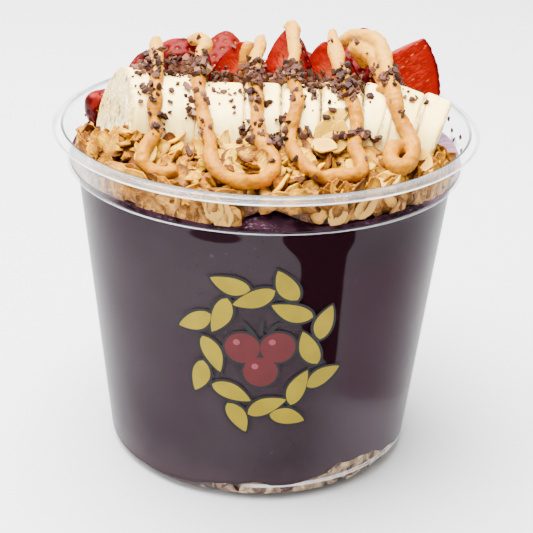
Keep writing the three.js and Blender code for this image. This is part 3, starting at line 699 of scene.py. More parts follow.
def lip_finish(look):
    """Clear plastic seen edge on: a painted dark line inside, faint streaks round the rim, a
    painted highlight along the foot.
    """
    finish = Finish("lip_plastic")
    x, y, z = finish.along()
    reach = (x ** 2.0 + y ** 2.0) ** 0.5
    uneven = finish.patches(9.0, 2.0, 0.35, 0.65)
    across = finish.node("ShaderNodeCombineXYZ", inputs={
        0: reach * 2.2, 1: z * 2.2, 2: uneven * 1.5})
    streaks = finish.patches(1.0, 2.0, 0.45, 0.62, vector=across)
    near = finish.span(y, 10.0, -20.0)
    # Painted reflection: a dark line along the inner top of the lip, strongest in front.
    inner = finish.span(reach - near * 0.5, 56.0, 55.8) * finish.span(z, 95.3, 95.6)
    # Painted highlight: a bright line along the outer foot of the lip.
    foot = finish.span(z, 95.05, 94.9) * finish.span(reach, 57.0, 57.6)
    share = finish.most(inner * (near * 0.6 + 0.35), foot * finish.span(uneven, 0, 1, 0.6, 0.95))
    share = finish.most(share, streaks * 0.17 + 0.04 + finish.span(y, -25.0, 5.0) * 0.11)
    color = finish.blend(inner, look.plastic_color, (0.016, 0.017, 0.02))
    shine = finish.span(foot + streaks * 0.5, 0.1, 0.9, 0.2, 0.85)
    return finish.close(color=color, metallic=shine, roughness=0.06, alpha=share, ior=1.46)


class ACAIBOWL_OT_cup(Maker, bpy.types.Operator):
    """Make the clear shell of the cup and its lip"""
    bl_idname = "acaibowl.cup"
    bl_label = "Cup"

    def make(self, look):
        points, faces = revolve([ring_at(radius, level, CUP_SIDES)
                                 for radius, level in cup_profile()])
        shell = new_piece("cup_shell", points, faces, plastic_finish(look), 50)
        settle(shell, "clear_plastic", "cup")
        settle(self.lip(look), "clear_plastic", "cup")

    def lip(self, look):
        """The lip is a rounded band led round a circle."""
        sizes = {"Radius": LIP_RADIUS - LIP_WIDTH / 2, "Level": LIP_TOP - LIP_HEIGHT / 2,
                 "Width": LIP_WIDTH, "Height": LIP_HEIGHT, "Rounding": LIP_ROUNDING}
        group, tree, given = open_group("Lip", **dict.fromkeys(sizes, "Float"), Material="Material")
        band = tree.node("GeometryNodeCurvePrimitiveQuadrilateral", inputs={
            "Width": given["Width"], "Height": given["Height"]})
        band = tree.node("GeometryNodeFilletCurve", {"mode": "POLY"}, {
            "Curve": band, "Radius": given["Rounding"], "Count": 5})
        path = tree.node("GeometryNodeCurvePrimitiveCircle", inputs={
            "Resolution": CUP_SIDES, "Radius": given["Radius"]})
        solid = tree.node("GeometryNodeCurveToMesh", inputs={"Curve": path, "Profile Curve": band})
        placed = tree.node("GeometryNodeTransform", inputs={
            "Geometry": solid,
            "Translation": tree.node("ShaderNodeCombineXYZ", inputs={"Z": given["Level"]})})
        smooth = tree.node("GeometryNodeSetShadeSmooth", inputs={"Geometry": placed})
        close_group(tree, smooth, given["Material"])
        lip = new_piece("cup_lip", [(0, 0, 0)], [], None)
        run_group(lip, group, Material=lip_finish(look),
                  **{name: size * MM for name, size in sizes.items()})
        bake_modifiers(lip)
        outward(lip.data)
        return lip


def outward(mesh):
    """Turns the faces of a closed mesh outwards."""
    work = bmesh.new()
    work.from_mesh(mesh)
    bmesh.ops.remove_doubles(work, verts=work.verts, dist=1e-7)
    if work.calc_volume(signed=True) < 0:
        bmesh.ops.reverse_faces(work, faces=work.faces)
    work.to_mesh(mesh)
    work.free()


def acai_finish(look):
    """Thick purple blend: greyed where air lies behind the wall, partly by frost and partly by a
    painted reflection of the bright room, and dark where it wets the wall.
    """
    finish = Finish("thick_acai")
    x, y, z = finish.along()
    # The dark patch where the blend touches the wall, between a left and a right edge
    rise, across = (z - 39.0) / 46.0, 25.0
    left = finish.ramp(rise, [
        (0.0, 0.8), (0.03, 0.78), (0.15, 0.68), (0.25, 0.57), (0.34, 0.48), (0.44, 0.38),
        (0.53, 0.325), (0.66, 0.385), (0.8, 0.385), (0.87, 0.3), (0.93, 0.21),
        (1.0, 0.2)], "CARDINAL") * across
    right = finish.ramp(rise, [
        (0.0, 0.78), (0.13, 0.81), (0.5, 0.83), (0.75, 0.845), (0.84, 0.865), (0.9, 0.92),
        (1.0, 0.925)], "CARDINAL") * across
    near = finish.span(y, 0.0, -5.0)
    facing = finish.span(y, 18.0, -20.0)
    wet = (finish.span(x - left, -0.35, 0.35) * finish.span(right - x, -0.35, 0.35)
           * finish.span(z, 38.6, 39.6) * near * finish.span(z, 85.6, 85.0))
    stain = ((x + 11.8) / 6.4) ** 2.0 + ((z - 82.6) / 1.7) ** 2.0
    wet = finish.most(wet, finish.span(stain, 1.3, 0.75) * near * 0.9)
    foot = finish.span(z + finish.cloud(9.0, 3.0) * 14.0, 22.0, 9.0)
    # Painted highlight: the lower right of the wall is lighter.
    lower_right_highlight = finish.span(x, 9.0, 34.0) * finish.span(z + x * 0.55, 50.0, 38.0) * facing
    purple = (finish.span(x, 19.0, 25.0) * finish.span(z + x * 0.55, 44.0, 46.0)
              * finish.span(z, 78.0, 66.0) * facing)
    specks = finish.span(finish.cells(1.3), 0.2, 0.1) * finish.patches(2.4, 2.0, 0.5, 0.62)
    pale = finish.span(finish.cells(4.6), 0.13, 0.07) * finish.patches(12.0, 2.0, 0.5, 0.62)
    wall = finish.layer(
        look.acai_color, (finish.patches(30.0, 3.0, 0.35, 0.7), look.acai_shade),
        (foot * 0.75, look.acai_foot), (lower_right_highlight * 0.8, (0.068, 0.053, 0.062)),
        (purple * 0.5, (0.03, 0.0145, 0.021)), (specks * 0.6, look.acai_wet),
        (pale * 0.3, (0.09, 0.06, 0.08)), (wet, look.acai_wet))
    inside = finish.span(z, 85.5, 86.0)
    frost = finish.patches(0.9, 3.0, 0.56, 0.68) * finish.patches(8.0, 2.0, 0.45, 0.6)
    smeared = finish.span(x, 40.0, 46.0)
    streaks = finish.patches(2.2, 3.0, 0.48, 0.6, stretch=(0.5, 1.6, 0.5), twist=0.7)
    top = finish.layer(
        look.acai_wet, (finish.patches(5.0, 4.0, 0.4, 0.62), look.acai_top),
        (frost * 0.45, (0.17, 0.11, 0.135)), (smeared * 0.8, (0.16, 0.085, 0.125)),
        (streaks * smeared * 0.7, (0.2, 0.125, 0.16)))
    color = finish.blend(inside, wall, top)
    relief = finish.cloud(1.1, 4.0) * 0.6 + finish.cloud(6.0, 2.0)
    return finish.close(color=color, roughness=finish.span(wet, 0, 1, 0.5, 0.3),
                        normal=finish.bump(relief * inside, 0.5, 0.35), specular=0.0)


class ACAIBOWL_OT_fills(Maker, bpy.types.Operator):
    """Make the acai blend and the granola layer under it"""
    bl_idname = "acaibowl.fills"
    bl_label = "Fills"

    def make(self, look):
        settle(self.acai(look), "acai_blend", "acai_fill")
        settle(self.base(look), "toasted_oats", "granola_base")
        self.base_flakes(look)

    def acai(self, look):
        """The blend's skin, from under its foot up the wall and over the mounded top."""
        sides = ACAI_SIDES

        def foot(turn):
            level = base_top(*on_circle(WALL_FOOT[0], turn))
            level += 0.45 * math.sin(23 * turn) + 0.35 * math.sin(37 * turn + 2)
            return BASE_LEVEL + (level - BASE_LEVEL) * base_shows(turn)

        def above_foot(turn, step):
            return foot(turn) + (12 - foot(turn)) * step / 5

        def top_ring(share):
            def level(turn):
                x, y = on_circle(ACAI_REACH * share, turn)
                rough = noise.noise(Vector((x / 3.5, y / 3.5, 3))) + 0.5 * noise.noise(
                    Vector((x / 1.3, y / 1.3, 9)))
                edge = 0.5 * smoothstep((share - 0.9) / 0.1) * math.sin(5 * turn)
                return acai_top(x, y) + 0.5 * rough * min(1, 4 * (1 - share) + 0.3) + edge
            return ring_at(ACAI_REACH * share, level, sides)

        rings = [ring_at(share * 40, 4.6, sides) for share in (0.4, 0.8)]
        rings.append(ring_at(42.2, lambda turn: max(4.4, foot(turn) - 1.6), sides))
        for drop in (0.5, 0.0):
            rings.append(ring_at(
                lambda turn: wall_radius(foot(turn) - drop + 0.2) - ACAI_BITE - 1.6 * drop,
                lambda turn: foot(turn) - drop, sides))
        for step in range(1, 6):
            rings.append(ring_at(lambda turn: wall_radius(above_foot(turn, step)) - ACAI_BITE,
                                 lambda turn: above_foot(turn, step), sides))
        for level in range(16, 84, 4):
            rings.append(ring_at(wall_radius(level) - ACAI_BITE, level, sides))
        for radius, level in ((52.0, 84.6), (52.3, 85.25), (53.7, 85.4), (ACAI_REACH, 85.9)):
            rings.append(ring_at(radius, level, sides))
        rings += [top_ring(share) for share in (1.0, 0.985, 0.96, 0.93)]
        rings += [top_ring(0.9 - 0.05 * step) for step in range(18)]
        points, faces = revolve(rings)
        return new_piece("acai_blend", points, faces, acai_finish(look), 60)

    def base(self, look):
        """The stained bed of granola under the blend."""
        sides = BASE_SIDES

        def reach(level, turn):
            return wall_radius(level) - CUP_WALL - 0.1 - 2.2 * base_shows(turn)

        def level_at(turn, share):
            rise = base_top(*on_circle(BASE_REACH * share, turn)) - BASE_LEVEL
            return max(2.5, BASE_LEVEL + rise * base_shows(turn) - 0.4)

        def side_at(turn, share):
            return 2.4 + share * (level_at(turn, 1) - 2.4)

        rings = [ring_at(20, 2.05, sides), ring_at(35.6, 2.05, sides), ring_at(37.4, 0.95, sides)]
        for level in (1.3, 2.2):
            rings.append(ring_at(lambda turn: reach(level, turn), level, sides))
        for share in (0.3, 0.65, 1.0):
            rings.append(ring_at(lambda turn: reach(side_at(turn, share), turn),
                                 lambda turn: side_at(turn, share), sides))
        rings += [ring_at(34, lambda turn: level_at(turn, 0.8), sides), ring_at(18, 5.0, sides)]
        points, faces = revolve(rings)
        finish = Finish("stained_oats")
        stain = finish.patches(4.0, 4.0, 0.38, 0.56)
        color = finish.blend(stain, look.acai_foot, (0.05, 0.02, 0.018))
        finish.close(color=color, roughness=0.6, normal=finish.bump(finish.cloud(2.0, 3.0), 1.0))
        return new_piece("granola_bed", points, faces, finish.material, 60)

    def base_flakes(self, look):
        """Oats in the bed of granola, where it shows through the wall."""
        rng = random.Random(5)
        spots = []
        while len(spots) < BASE_FLAKES:
            turn = rng.uniform(0, TURN)
            shows = base_shows(turn)
            if rng.random() > shows + 0.02:
                continue
            top = base_top(*on_circle(BASE_REACH, turn))
            level = rng.uniform(1.2, 2.0 + (top - 1.0) * min(1, shows + 0.1))
            reach = wall_radius(level) - CUP_WALL - rng.uniform(0.7, 2.2)
            normal = polar(1, turn, -0.9 * smoothstep((4.5 - level) / 4))
            basis = facing_basis(normal + stray(rng, .5, .5, .4), rng.uniform(0, TURN))
            size = Vector((rng.uniform(2.6, 3.9), rng.uniform(1.8, 2.8), 1))
            spots.append((polar(reach, turn, level), basis, size, rng.randrange(6),
                          rng.uniform(0.0, 0.75)))
        shapes = [chip_shape(rng, 0.1, 0.5, 0.3, 0.55) for _ in range(6)]
        flakes = scatter("oat_flakes_below", spots, shapes, oat_finish(look), 11)
        press_inside(flakes, foot_floor, heel_reach)
        settle(flakes, "toasted_oats", "granola_base")


def oat_finish(look):
    """Rolled oats: cream middles, streaks along the grain and toasted rims."""
    known = bpy.data.materials.get("rolled_oats")
    if known:
        return known
    finish = Finish("rolled_oats")
    tone = finish.attribute("tone")
    local = finish.attribute("local", "Vector")
    reach = finish.node("ShaderNodeSeparateXYZ", inputs={0: local}, output=2)
    grain = finish.cloud(240.0, 3.0, vector=local, stretch=(0.6, 2.6, 1))
    blots = finish.cloud(2.6, 3.0)
    toast = tone + finish.span(reach, 0.5, 1.05) * 0.32 + (grain - 0.5) * 0.8 + (blots - 0.5) * 1.1
    dry = finish.ramp(toast, [(0.0, look.oat_pale), (0.3, look.oat_cream), (0.62, look.oat_toast),
                              (1.0, look.oat_dark)])
    # Painted shade: darker, greyer oat colours for the flakes behind the collar, with the plastic's
    # grey veil painted in.
    collar_shade = finish.ramp(toast, [(0.0, (0.46, 0.23, 0.045)), (0.35, (0.26, 0.11, 0.018)),
                                  (0.65, (0.11, 0.038, 0.004)), (1.0, (0.045, 0.012, 0.001))])
    # Paler, greyer oats low in the cup: acai stain, with painted light for the dim light through
    # the wall.
    low_stain_and_light = finish.ramp(toast, [(0.0, (0.62, 0.46, 0.28)), (0.5, (0.36, 0.25, 0.16)),
                               (1.0, (0.14, 0.085, 0.06))])
    x, _, z = finish.along()
    sunny = finish.span(x, -17.0, -9.0) * finish.span(x, 14.0, 5.0) * finish.span(z, 96.0, 97.5)
    low = finish.span(z, 18.0, 16.0)
    color = finish.layer(
        dry, (sunny * 0.5 * finish.span(toast, 0.7, 0.3), (0.66, 0.4, 0.03)),
        (finish.span(z, COLLAR_SHADE_FROM, COLLAR_SHADE_TO), collar_shade), (low, low_stain_and_light),
        (finish.patches(4.0, 3.0, 0.46, 0.58) * low * 0.65, (0.09, 0.045, 0.05)))
    relief = grain * 0.8 + finish.cloud(0.7, 3.0) * 0.5
    return finish.close(color=color, roughness=finish.span(blots, 0.3, 0.7, 0.62, 0.42),
                        normal=finish.bump(relief, 0.35, 0.8), subsurface=0.15,
                        reach=(0.6, 0.35, 0.15), reach_scale=0.0015, specular=0.08)


def press_inside(piece, floor_at, reach_at):
    """Presses what would stand through the cup flat against its inside."""
    spots = points_of(piece.data)
    reach = np.hypot(spots[:, 0], spots[:, 1])
    spots[:, 2] = np.maximum(spots[:, 2], floor_at(reach, spots[:, 0]))
    most = reach_at(spots[:, 2]) - CLEARANCE
    spots[:, :2] *= np.minimum(1, most / np.maximum(reach, 1))[:, None]
    move_points(piece.data, spots)


# How low and how far out toppings and lower granola may lie inside the cup
def ledge_floor(reach, x):
    return 86.15 + 0.15 * np.sin(x * 2.1)


def collar_reach(level):
    return np.minimum(collar_radius(level) - CUP_WALL, 54.9)


def foot_floor(reach, x):
    return np.where(reach < 36.6, 2.1, 0.95)


def heel_reach(level):
    drop = np.clip(HEEL_RADIUS - level, 0, HEEL_RADIUS - CUP_WALL)
    return np.where(level < HEEL_RADIUS,
                    HEEL_CENTRE[0] + np.sqrt((HEEL_RADIUS - CUP_WALL) ** 2 - drop ** 2),
                    wall_radius(HEEL_RADIUS) - CUP_WALL + WALL_SLOPE * (level - HEEL_RADIUS))


# Place, rise towards the top and tone of each almond slice that lies on the bananas
ALMONDS_ON_BANANA = (
    (18, -22, 105.2, 0.9, 0.1), (15.2, -24.6, 101.8, 0.45, 0.1), (18.9, -24.6, 101.7, 0.5, 0.3),
)
# Turn round the cup, level and spin of each almond slice at the collar, in degrees
ALMONDS_AT_COLLAR = ((257, 91.4, 80), (259.5, 89.2, 70), (290, 90.2, 95), (298, 90.6, 60))


class ACAIBOWL_OT_granola(Maker, bpy.types.Operator):
    """Make the granola crescent with its oats, almonds and toasted clusters"""
    bl_idname = "acaibowl.granola"
    bl_label = "Granola"

    def make(self, look):
        settle(self.core(look), "toasted_oats", "granola_topping")
        rng = random.Random(look.seed)
        spots = self.top_spots(rng, look.flake_count) + self.wall_spots(rng, look.wall_flake_count)
        shapes = [chip_shape(rng, 0.06, rng.choice((-1, 1, 1)) * rng.uniform(0.3, 1.3), 0.3,
                             rng.uniform(0.6, 0.85), notch=rng.uniform(0, 0.3)) for _ in range(9)]
        self.tuck_in(scatter("oat_flakes", spots, shapes, oat_finish(look), look.seed))
        self.clusters(look, rng)
        self.almonds(look, rng)

    def tuck_in(self, piece):
        """Keeps toppings inside the collar and ties them to the crescent."""
        press_inside(piece, ledge_floor, collar_reach)
        settle(piece, "toasted_oats", "granola_topping")

    def core(self, look):
        """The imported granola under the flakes, from the wall to inside the banana row."""
        steps, shares = 90, [0, 0.06, 0.2, 0.4, 0.6, 0.8, 1.0]
        rings = []
        for step in range(steps + 1):
            turn = GRANOLA_FROM + step / steps * (GRANOLA_TO - GRANOLA_FROM)
            gap = front_gap(turn)
            outer = 52.2 - 4.2 * gap + 0.5 * math.sin(9 * turn)
            inner = min(abs(14 / math.sin(turn)), outer - 5)
            end = smoothstep(min(step, steps - step) / 6)
            over, under = [], []
            for share in shares:
                reach = outer + share * (inner - outer)
                x, y = on_circle(reach, turn)
                rough = 1.1 * noise.noise(Vector((x / 2.6, y / 2.6, 1)))
                low = acai_top(x, y) - 0.5 + 2.2 * (1 - share) * gap
                high = granola_top(x, y) - 2.4 + rough - (1.6 if share == 0 else 0)
                over.append((x, y, low + 0.3 + (high - low - 0.3) * end))
                under.append((x, y, low))
            rings.append(over[::-1] + under)
        points, faces = revolve(rings)
        finish = Finish("packed_granola")
        # Its dark crumb colours also stand for the painted shade in the gaps between the flakes.
        crumbs = finish.cloud(1.4, 4.0)
        color = finish.ramp(crumbs, [(0.32, (0.02, 0.006, 0.002)), (0.5, (0.08, 0.025, 0.004)),
                                     (0.72, (0.2, 0.075, 0.012))])
        finish.close(color=color, roughness=0.6, normal=finish.bump(crumbs, 1.2))
        core = new_piece("granola_crescent", points, faces, finish.material, 60)
        outward(core.data)
        return core

    def top_spots(self, rng, count):
        """Flakes that lie on the crescent, every way up."""
        spots = []
        while len(spots) < count:
            turn = rng.uniform(GRANOLA_FROM, GRANOLA_TO)
            inner = min(abs(19 / math.sin(turn)), 49)
            reach = math.sqrt(rng.uniform(inner ** 2, FLAKE_REACH ** 2))
            if reach > FLAKE_REACH - 4 * front_gap(turn):
                continue
            x, y = on_circle(reach, turn)
            level = granola_top(x, y) + rng.uniform(-2.3, 1.5)
            if y > -26 + rng.uniform(-1.5, 1.5):
                level = min(level, 95.5)
            lean = abs(rng.gauss(0, 0.7))
            normal = polar(lean, rng.uniform(0, TURN), 0.85) + Vector((0, -0.25, 0))
            size = Vector((rng.uniform(3.0, 4.4), rng.uniform(1.8, 2.7), 1))
            tone = min(max(rng.gauss(0.3, 0.36), 0), 1)
            basis = facing_basis(normal, rng.uniform(0, TURN))
            spots.append((Vector((x, y, level)), basis, size, rng.randrange(9), tone))
        return spots

    def wall_spots(self, rng, count):
        """Flakes that stand at the collar, seen through it."""
        spots = []
        while len(spots) < count:
            turn = rng.uniform(GRANOLA_FROM + 0.03, GRANOLA_TO - 0.02)
            left = turn < GRANOLA_GAP - 0.12
            level = 94.2 - (7.8 if left else 5.8) * rng.random() ** (0.8 if left else 1.1)
            if front_gap(turn) > 0.25 and level < 93.4:
                continue
            deep = rng.uniform(0.9, 3.6) if level > 88.6 else rng.uniform(0.4, 1.3)
            reach = collar_radius(level) - CUP_WALL - deep
            normal = polar(1, turn, rng.uniform(-0.25, 0.5)) + stray(rng, 0.8, 0.8, 0)
            size = Vector((rng.uniform(3.3, 5.0), rng.uniform(2.2, 3.3), 1))
            basis = facing_basis(normal, rng.uniform(0, TURN))
            tone = min(max(rng.gauss(0.3, 0.24), 0), 0.9)
            spots.append((polar(reach, turn, level), basis, size, rng.randrange(9), tone))
        return spots

    def clusters(self, look, rng):
        """Sticky lumps of toasted granola, in groups on top and loose at the collar."""
        spots = []
        for x, y, count in CLUSTERS:
            for _ in range(count):
                px, py = x + rng.gauss(0, 2.6), y + rng.gauss(0, 2.2)
                inward = min(1, CLUSTER_REACH / math.hypot(px, py))
                px, py = px * inward, py * inward
                level = granola_top(px, py) + rng.uniform(-0.6, 0.9)
                size = Vector((rng.uniform(1.2, 2.6), rng.uniform(1.0, 1.9), rng.uniform(0.8, 1.5)))
                basis = facing_basis((rng.gauss(0, .4), rng.gauss(0, .4), 1), rng.uniform(0, TURN))
                spots.append((Vector((px, py, level)), basis, size, rng.randrange(4),
                              rng.uniform(0.2, 1)))
        for _ in range(LOOSE_LUMPS):
            turn, level = math.radians(rng.uniform(200, 262)), rng.uniform(86.8, 92)
            reach = collar_radius(level) - CUP_WALL - rng.uniform(1.2, 3.2)
            size = Vector((rng.uniform(1.4, 2.8), rng.uniform(1.0, 2.0), rng.uniform(1.0, 1.8)))
            basis = facing_basis((rng.gauss(0, 1), rng.gauss(0, 1), 1), 0)
            spots.append((polar(reach, turn, level), basis, size, rng.randrange(4),
                          rng.uniform(0.1, 0.6)))
        finish = Finish("toasted_cluster")
        tone = finish.attribute("tone") + (finish.cloud(1.2, 4.0) - 0.5) * 1.6
        color = finish.ramp(tone, [(0.0, look.oat_cream), (0.35, (0.27, 0.09, 0.0)),
                                   (1.0, (0.09, 0.026, 0.0))])
        finish.close(color=color, roughness=0.5, normal=finish.bump(finish.cloud(0.8, 4.0), 0.8),
                     specular=0.12)
        shapes = [lump_shape(rng, 0.55, 2) for _ in range(4)]
        self.tuck_in(scatter("toasted_clusters", spots, shapes, finish.material, 3))

    def almonds(self, look, rng):
        """Sliced almonds: x, y, turn about the upright, lean towards the viewer and tone."""
        places = [(18, -27.5, 20, 0.9, 0.1), (15, -31, -30, 0.35, 0.2), (31, -41, 35, 0.5, 0.25),
                  (40, -31, -50, 0.7, 0.2), (24, -36, 15, 0.3, 0.1), (-30, -36, 60, 0.4, 0.2)]
        spots = []
        for x, y, spin, lean, tone in places:
            normal = (rng.uniform(-.2, .2), -lean, 0.8)
            place = Vector((x, y, granola_top(x, y) + 2.7 + lean))
            size = Vector((rng.uniform(3.8, 4.6), rng.uniform(2.6, 3.1), 1))
            spots.append((place, facing_basis(normal, math.radians(spin)), size,
                          rng.randrange(4), tone))
        for x, y, z, rise, tone in ALMONDS_ON_BANANA:
            spots.append((Vector((x, y, z)), facing_basis((0.05, -1, rise), 1.3 + x),
                          Vector((3.6, 2.5, 0.8)), rng.randrange(4), tone))
        for turn, level, spin in ALMONDS_AT_COLLAR:
            turn = math.radians(turn)
            reach = collar_radius(level) - CUP_WALL - 0.5
            basis = facing_basis(polar(1, turn, 0.02), math.radians(spin))
            spots.append((polar(reach, turn, level), basis, Vector((3.9, 2.6, 0.6)),
                          rng.randrange(4), 0.2))
        finish = Finish("sliced_almond")
        local = finish.attribute("local", "Vector")
        reach = finish.node("ShaderNodeSeparateXYZ", inputs={0: local}, output=2)
        streak = finish.cloud(300.0, 2.0, vector=local, stretch=(0.4, 2.0, 1))
        z = finish.along()[2]
        body = finish.layer(
            (0.5, 0.27, 0.006), (streak, (0.38, 0.18, 0.001)),
            (finish.span(reach, 0.3, 0.9) * 0.4, (0.6, 0.34, 0.02)),
            # The same painted shade and veil for the almonds behind the collar.
            (finish.span(z, COLLAR_SHADE_FROM, COLLAR_SHADE_TO) * 0.8, (0.42, 0.23, 0.05)))
        rim = finish.span(reach + (finish.cloud(1.5) - 0.5) * 0.25, 0.99, 1.03) * 0.85
        finish.close(color=finish.blend(rim, body, (0.13, 0.035, 0.006)), roughness=0.38,
                     normal=finish.bump(streak, 0.2), subsurface=0.2, reach=(0.8, 0.5, 0.25),
                     reach_scale=0.001, specular=0.15)
        shapes = [chip_shape(rng, 0.02, rng.uniform(-0.4, 0.4), 0.0, 0.75,
                             (0.35, 0.7, 0.93, 1.0), 24, 0.28) for _ in range(4)]
        self.tuck_in(scatter("almond_slices", spots, shapes, finish.material, 9, 0.06))


def banana_finish(look):
    """Peeled banana: creamy sides with fine lengthwise lines, painted shade low down and at the
    seams, and moist, grainy cut faces with painted glints.
    """
    finish = Finish("ripe_banana")
    _, y, z = finish.along()
    cut, edge = finish.attribute("cut"), finish.attribute("rim")
    lines = finish.cloud(2.2, 3.0, stretch=(0.12, 1, 1))
    strokes = finish.patches(1.6, 3.0, 0.58, 0.75, stretch=(1.0, 0.2, 0.2))
    # Painted shade: the sides darken towards the bottom and at the rims and seams between slices.
    side = finish.layer(
        look.banana_color, (finish.patches(11.0, 2.0, 0.3, 0.7) * 0.5, look.banana_warm),
        (finish.span(lines, 0.52, 0.75) * 0.35, look.banana_warm),
        (finish.span(z, 99.0, 87.0) * 0.7, look.banana_deep),
        (finish.span(edge, 0.3, 1.0) * 0.6, look.banana_deep),
        (finish.span(edge, 0.72, 1.0) * 0.85, (0.3, 0.14, 0.016)),
        (strokes * finish.span(z, 110.0, 92.0, 0.35, 0.8), look.banana_deep))
    grain = finish.cells(0.95, stretch=(1.3, 1, 0.7))
    # Painted highlights: light glints on the cut faces, strongest in front.
    painted_glints = finish.patches(1.0, 3.0, 0.54, 0.64, stretch=(1, 1, 0.4))
    specks = finish.span(finish.cells(3.0), 0.36, 0.22) * finish.patches(6.0, 2.0, 0.38, 0.46)
    wet = finish.layer(
        (0.86, 0.66, 0.22), (finish.span(grain, 0.15, 0.6), (0.55, 0.37, 0.1)),
        (finish.patches(4.5, 3.0, 0.42, 0.68) * 0.7, (0.42, 0.28, 0.06)),
        (painted_glints * finish.span(y, -4.0, -14.0, 0.3, 0.9), (1.0, 0.88, 0.55)),
        (specks * 0.85, (0.14, 0.045, 0.01)))
    color = finish.blend(cut, side, wet)
    relief = finish.cloud(1.6, 4.0) * 0.35 + lines * 0.4 + (
        finish.span(grain, 0.5, 0.1) + finish.cloud(2.2, 3.0) * 2.0) * cut
    return finish.close(color=color, roughness=finish.span(cut, 0, 1, 0.46, 0.18),
                        normal=finish.bump(relief, 0.4, 0.5), subsurface=0.3,
                        reach=(1.0, 0.8, 0.5), reach_scale=0.0025, specular=0.45)


class ACAIBOWL_OT_banana(Maker, bpy.types.Operator):
    """Make the row of banana slices"""
    bl_idname = "acaibowl.banana"
    bl_label = "Banana slices"

    def make(self, look):
        material = banana_finish(look)
        for order, row in enumerate(BANANA_ROW):
            piece = self.slice(order, row, material)
            settle(piece, "banana_flesh", f"banana_slice_{order + 1}")

    def stance(self, row):
        """Where a slice stands, with its thickness along X."""
        x, z, _, _, lean, turn = row
        return Matrix.Translation((x, SLICE_Y, z)) @ Matrix.Rotation(math.radians(turn), 4, "Z") \
            @ Matrix.Rotation(math.radians(lean), 4, "Y")

    def slice(self, order, row, material):
        """A round of banana, bevelled where its side meets its slightly hollow cut faces."""
        thick, radius = row[2:4]
        sides, half, bevel = 84, thick / 2 + 0.16, SLICE_BEVEL
        matrix = self.stance(row)
        neighbours = [(self.stance(other).inverted(), other[2] / 2)
                      for other in BANANA_ROW[max(order - 1, 0):order + 2] if other is not row]
        profile = [(-half, share) for share in (0.12, 0.3, 0.5, 0.7, 0.86)]
        for step in range(5):
            swing = math.pi / 2 * step / 4
            profile.append((-half + bevel * (1 - math.cos(swing)),
                            1 - (bevel / radius) * (1 - math.sin(swing))))
        steps = 12
        profile += [(-half + bevel + (thick - 2 * bevel) * step / steps, 1.0)
                    for step in range(1, steps)]
        profile += [(-along, share) for along, share in profile[9::-1]]
        rings, cuts, seam_shades = [], [], []
        for along, share in profile:
            ring = []
            for side in range(sides):
                angle = TURN * side / sides
                swell = 1 + 0.012 * math.cos(5 * angle) + 0.004 * math.sin(13 * angle + order)
                swell += 0.006 * noise.noise(Vector((*on_circle(3, angle),
                                                     order * 7 + along * 0.25)))
                across, up = on_circle(radius * share * swell, angle)
                bow = 0.35 * (1 - share ** 2) * side_of(along) if share < 0.99 else 0
                rough = 0.12 * noise.noise(Vector((across / 1.1, up / 1.1, order + along)))
                shift = bow * -0.6 + (rough if share < 0.93 else 0.22 * noise.noise(
                    Vector((*on_circle(4, angle), order * 5 + side_of(along)))))
                spot = matrix @ Vector((along + shift, across, up))
                seam = max(1 - abs(abs((turned @ spot).x) - reach_of) / 1.1
                           for turned, reach_of in neighbours)
                ring.append(tuple(spot))
                cuts.append(smoothstep((1.0 - share) / 0.035))
                # The rim attribute marks the bevels and seams for the painted shade there.
                seam_shades.append(max(smoothstep((abs(along) - half + 2.2) / 2.2), smoothstep(seam)))
            rings.append(ring)
        points, faces = revolve(rings)
        cuts += [1.0, 1.0]
        seam_shades += [1.0, 1.0]
        piece = new_piece(f"banana_round_{order + 1}", points, faces, material, 60,
                          {"cut": cuts, "rim": seam_shades})
        outward(piece.data)
        return piece


def side_of(value):
    """1 above 0 and -1 from there down."""
    return 1 if value > 0 else -1


def berry_girth(share, radius):
    """Radius of a berry at a share of its length."""
    return radius * math.sin(math.pi * share ** 0.62) ** 0.64 if 0 < share < 1 else 0.0


def berry_matrix(calyx, tip, turn):
    """Across, back and along the berry as columns, at its calyx end; back points away from -Y."""
    start = Vector(calyx)
    along = (Vector(tip) - start).normalized()
    across = polar(1, math.radians(turn), 0)
    back = along.cross(across).normalized()
    if back.y < 0:
        back.negate()
    across = back.cross(along)
    matrix = Matrix((across, back, along)).transposed().to_4x4()
    matrix.translation = start
    return matrix


def berry_seeds(length, radius):
    """Places and outward directions of the seeds over a whole berry, in its own axes."""
    seeds, row, share = [], 0, 0.1
    while share < 0.97:
        girth = berry_girth(share, radius)
        count = max(4, round(TURN * girth / 3.1))
        for step in range(count):
            turn = TURN * (step + 0.5 * (row % 2)) / count + 0.13 * math.sin(7 * step + row)
            slope = (berry_girth(min(share + .02, .995), radius)
                     - berry_girth(share - .02, radius)) / (0.04 * length)
            seeds.append((polar(girth, turn, share * length), polar(1, turn, -slope).normalized()))
        share += 2.5 / length
        row += 1
    return seeds


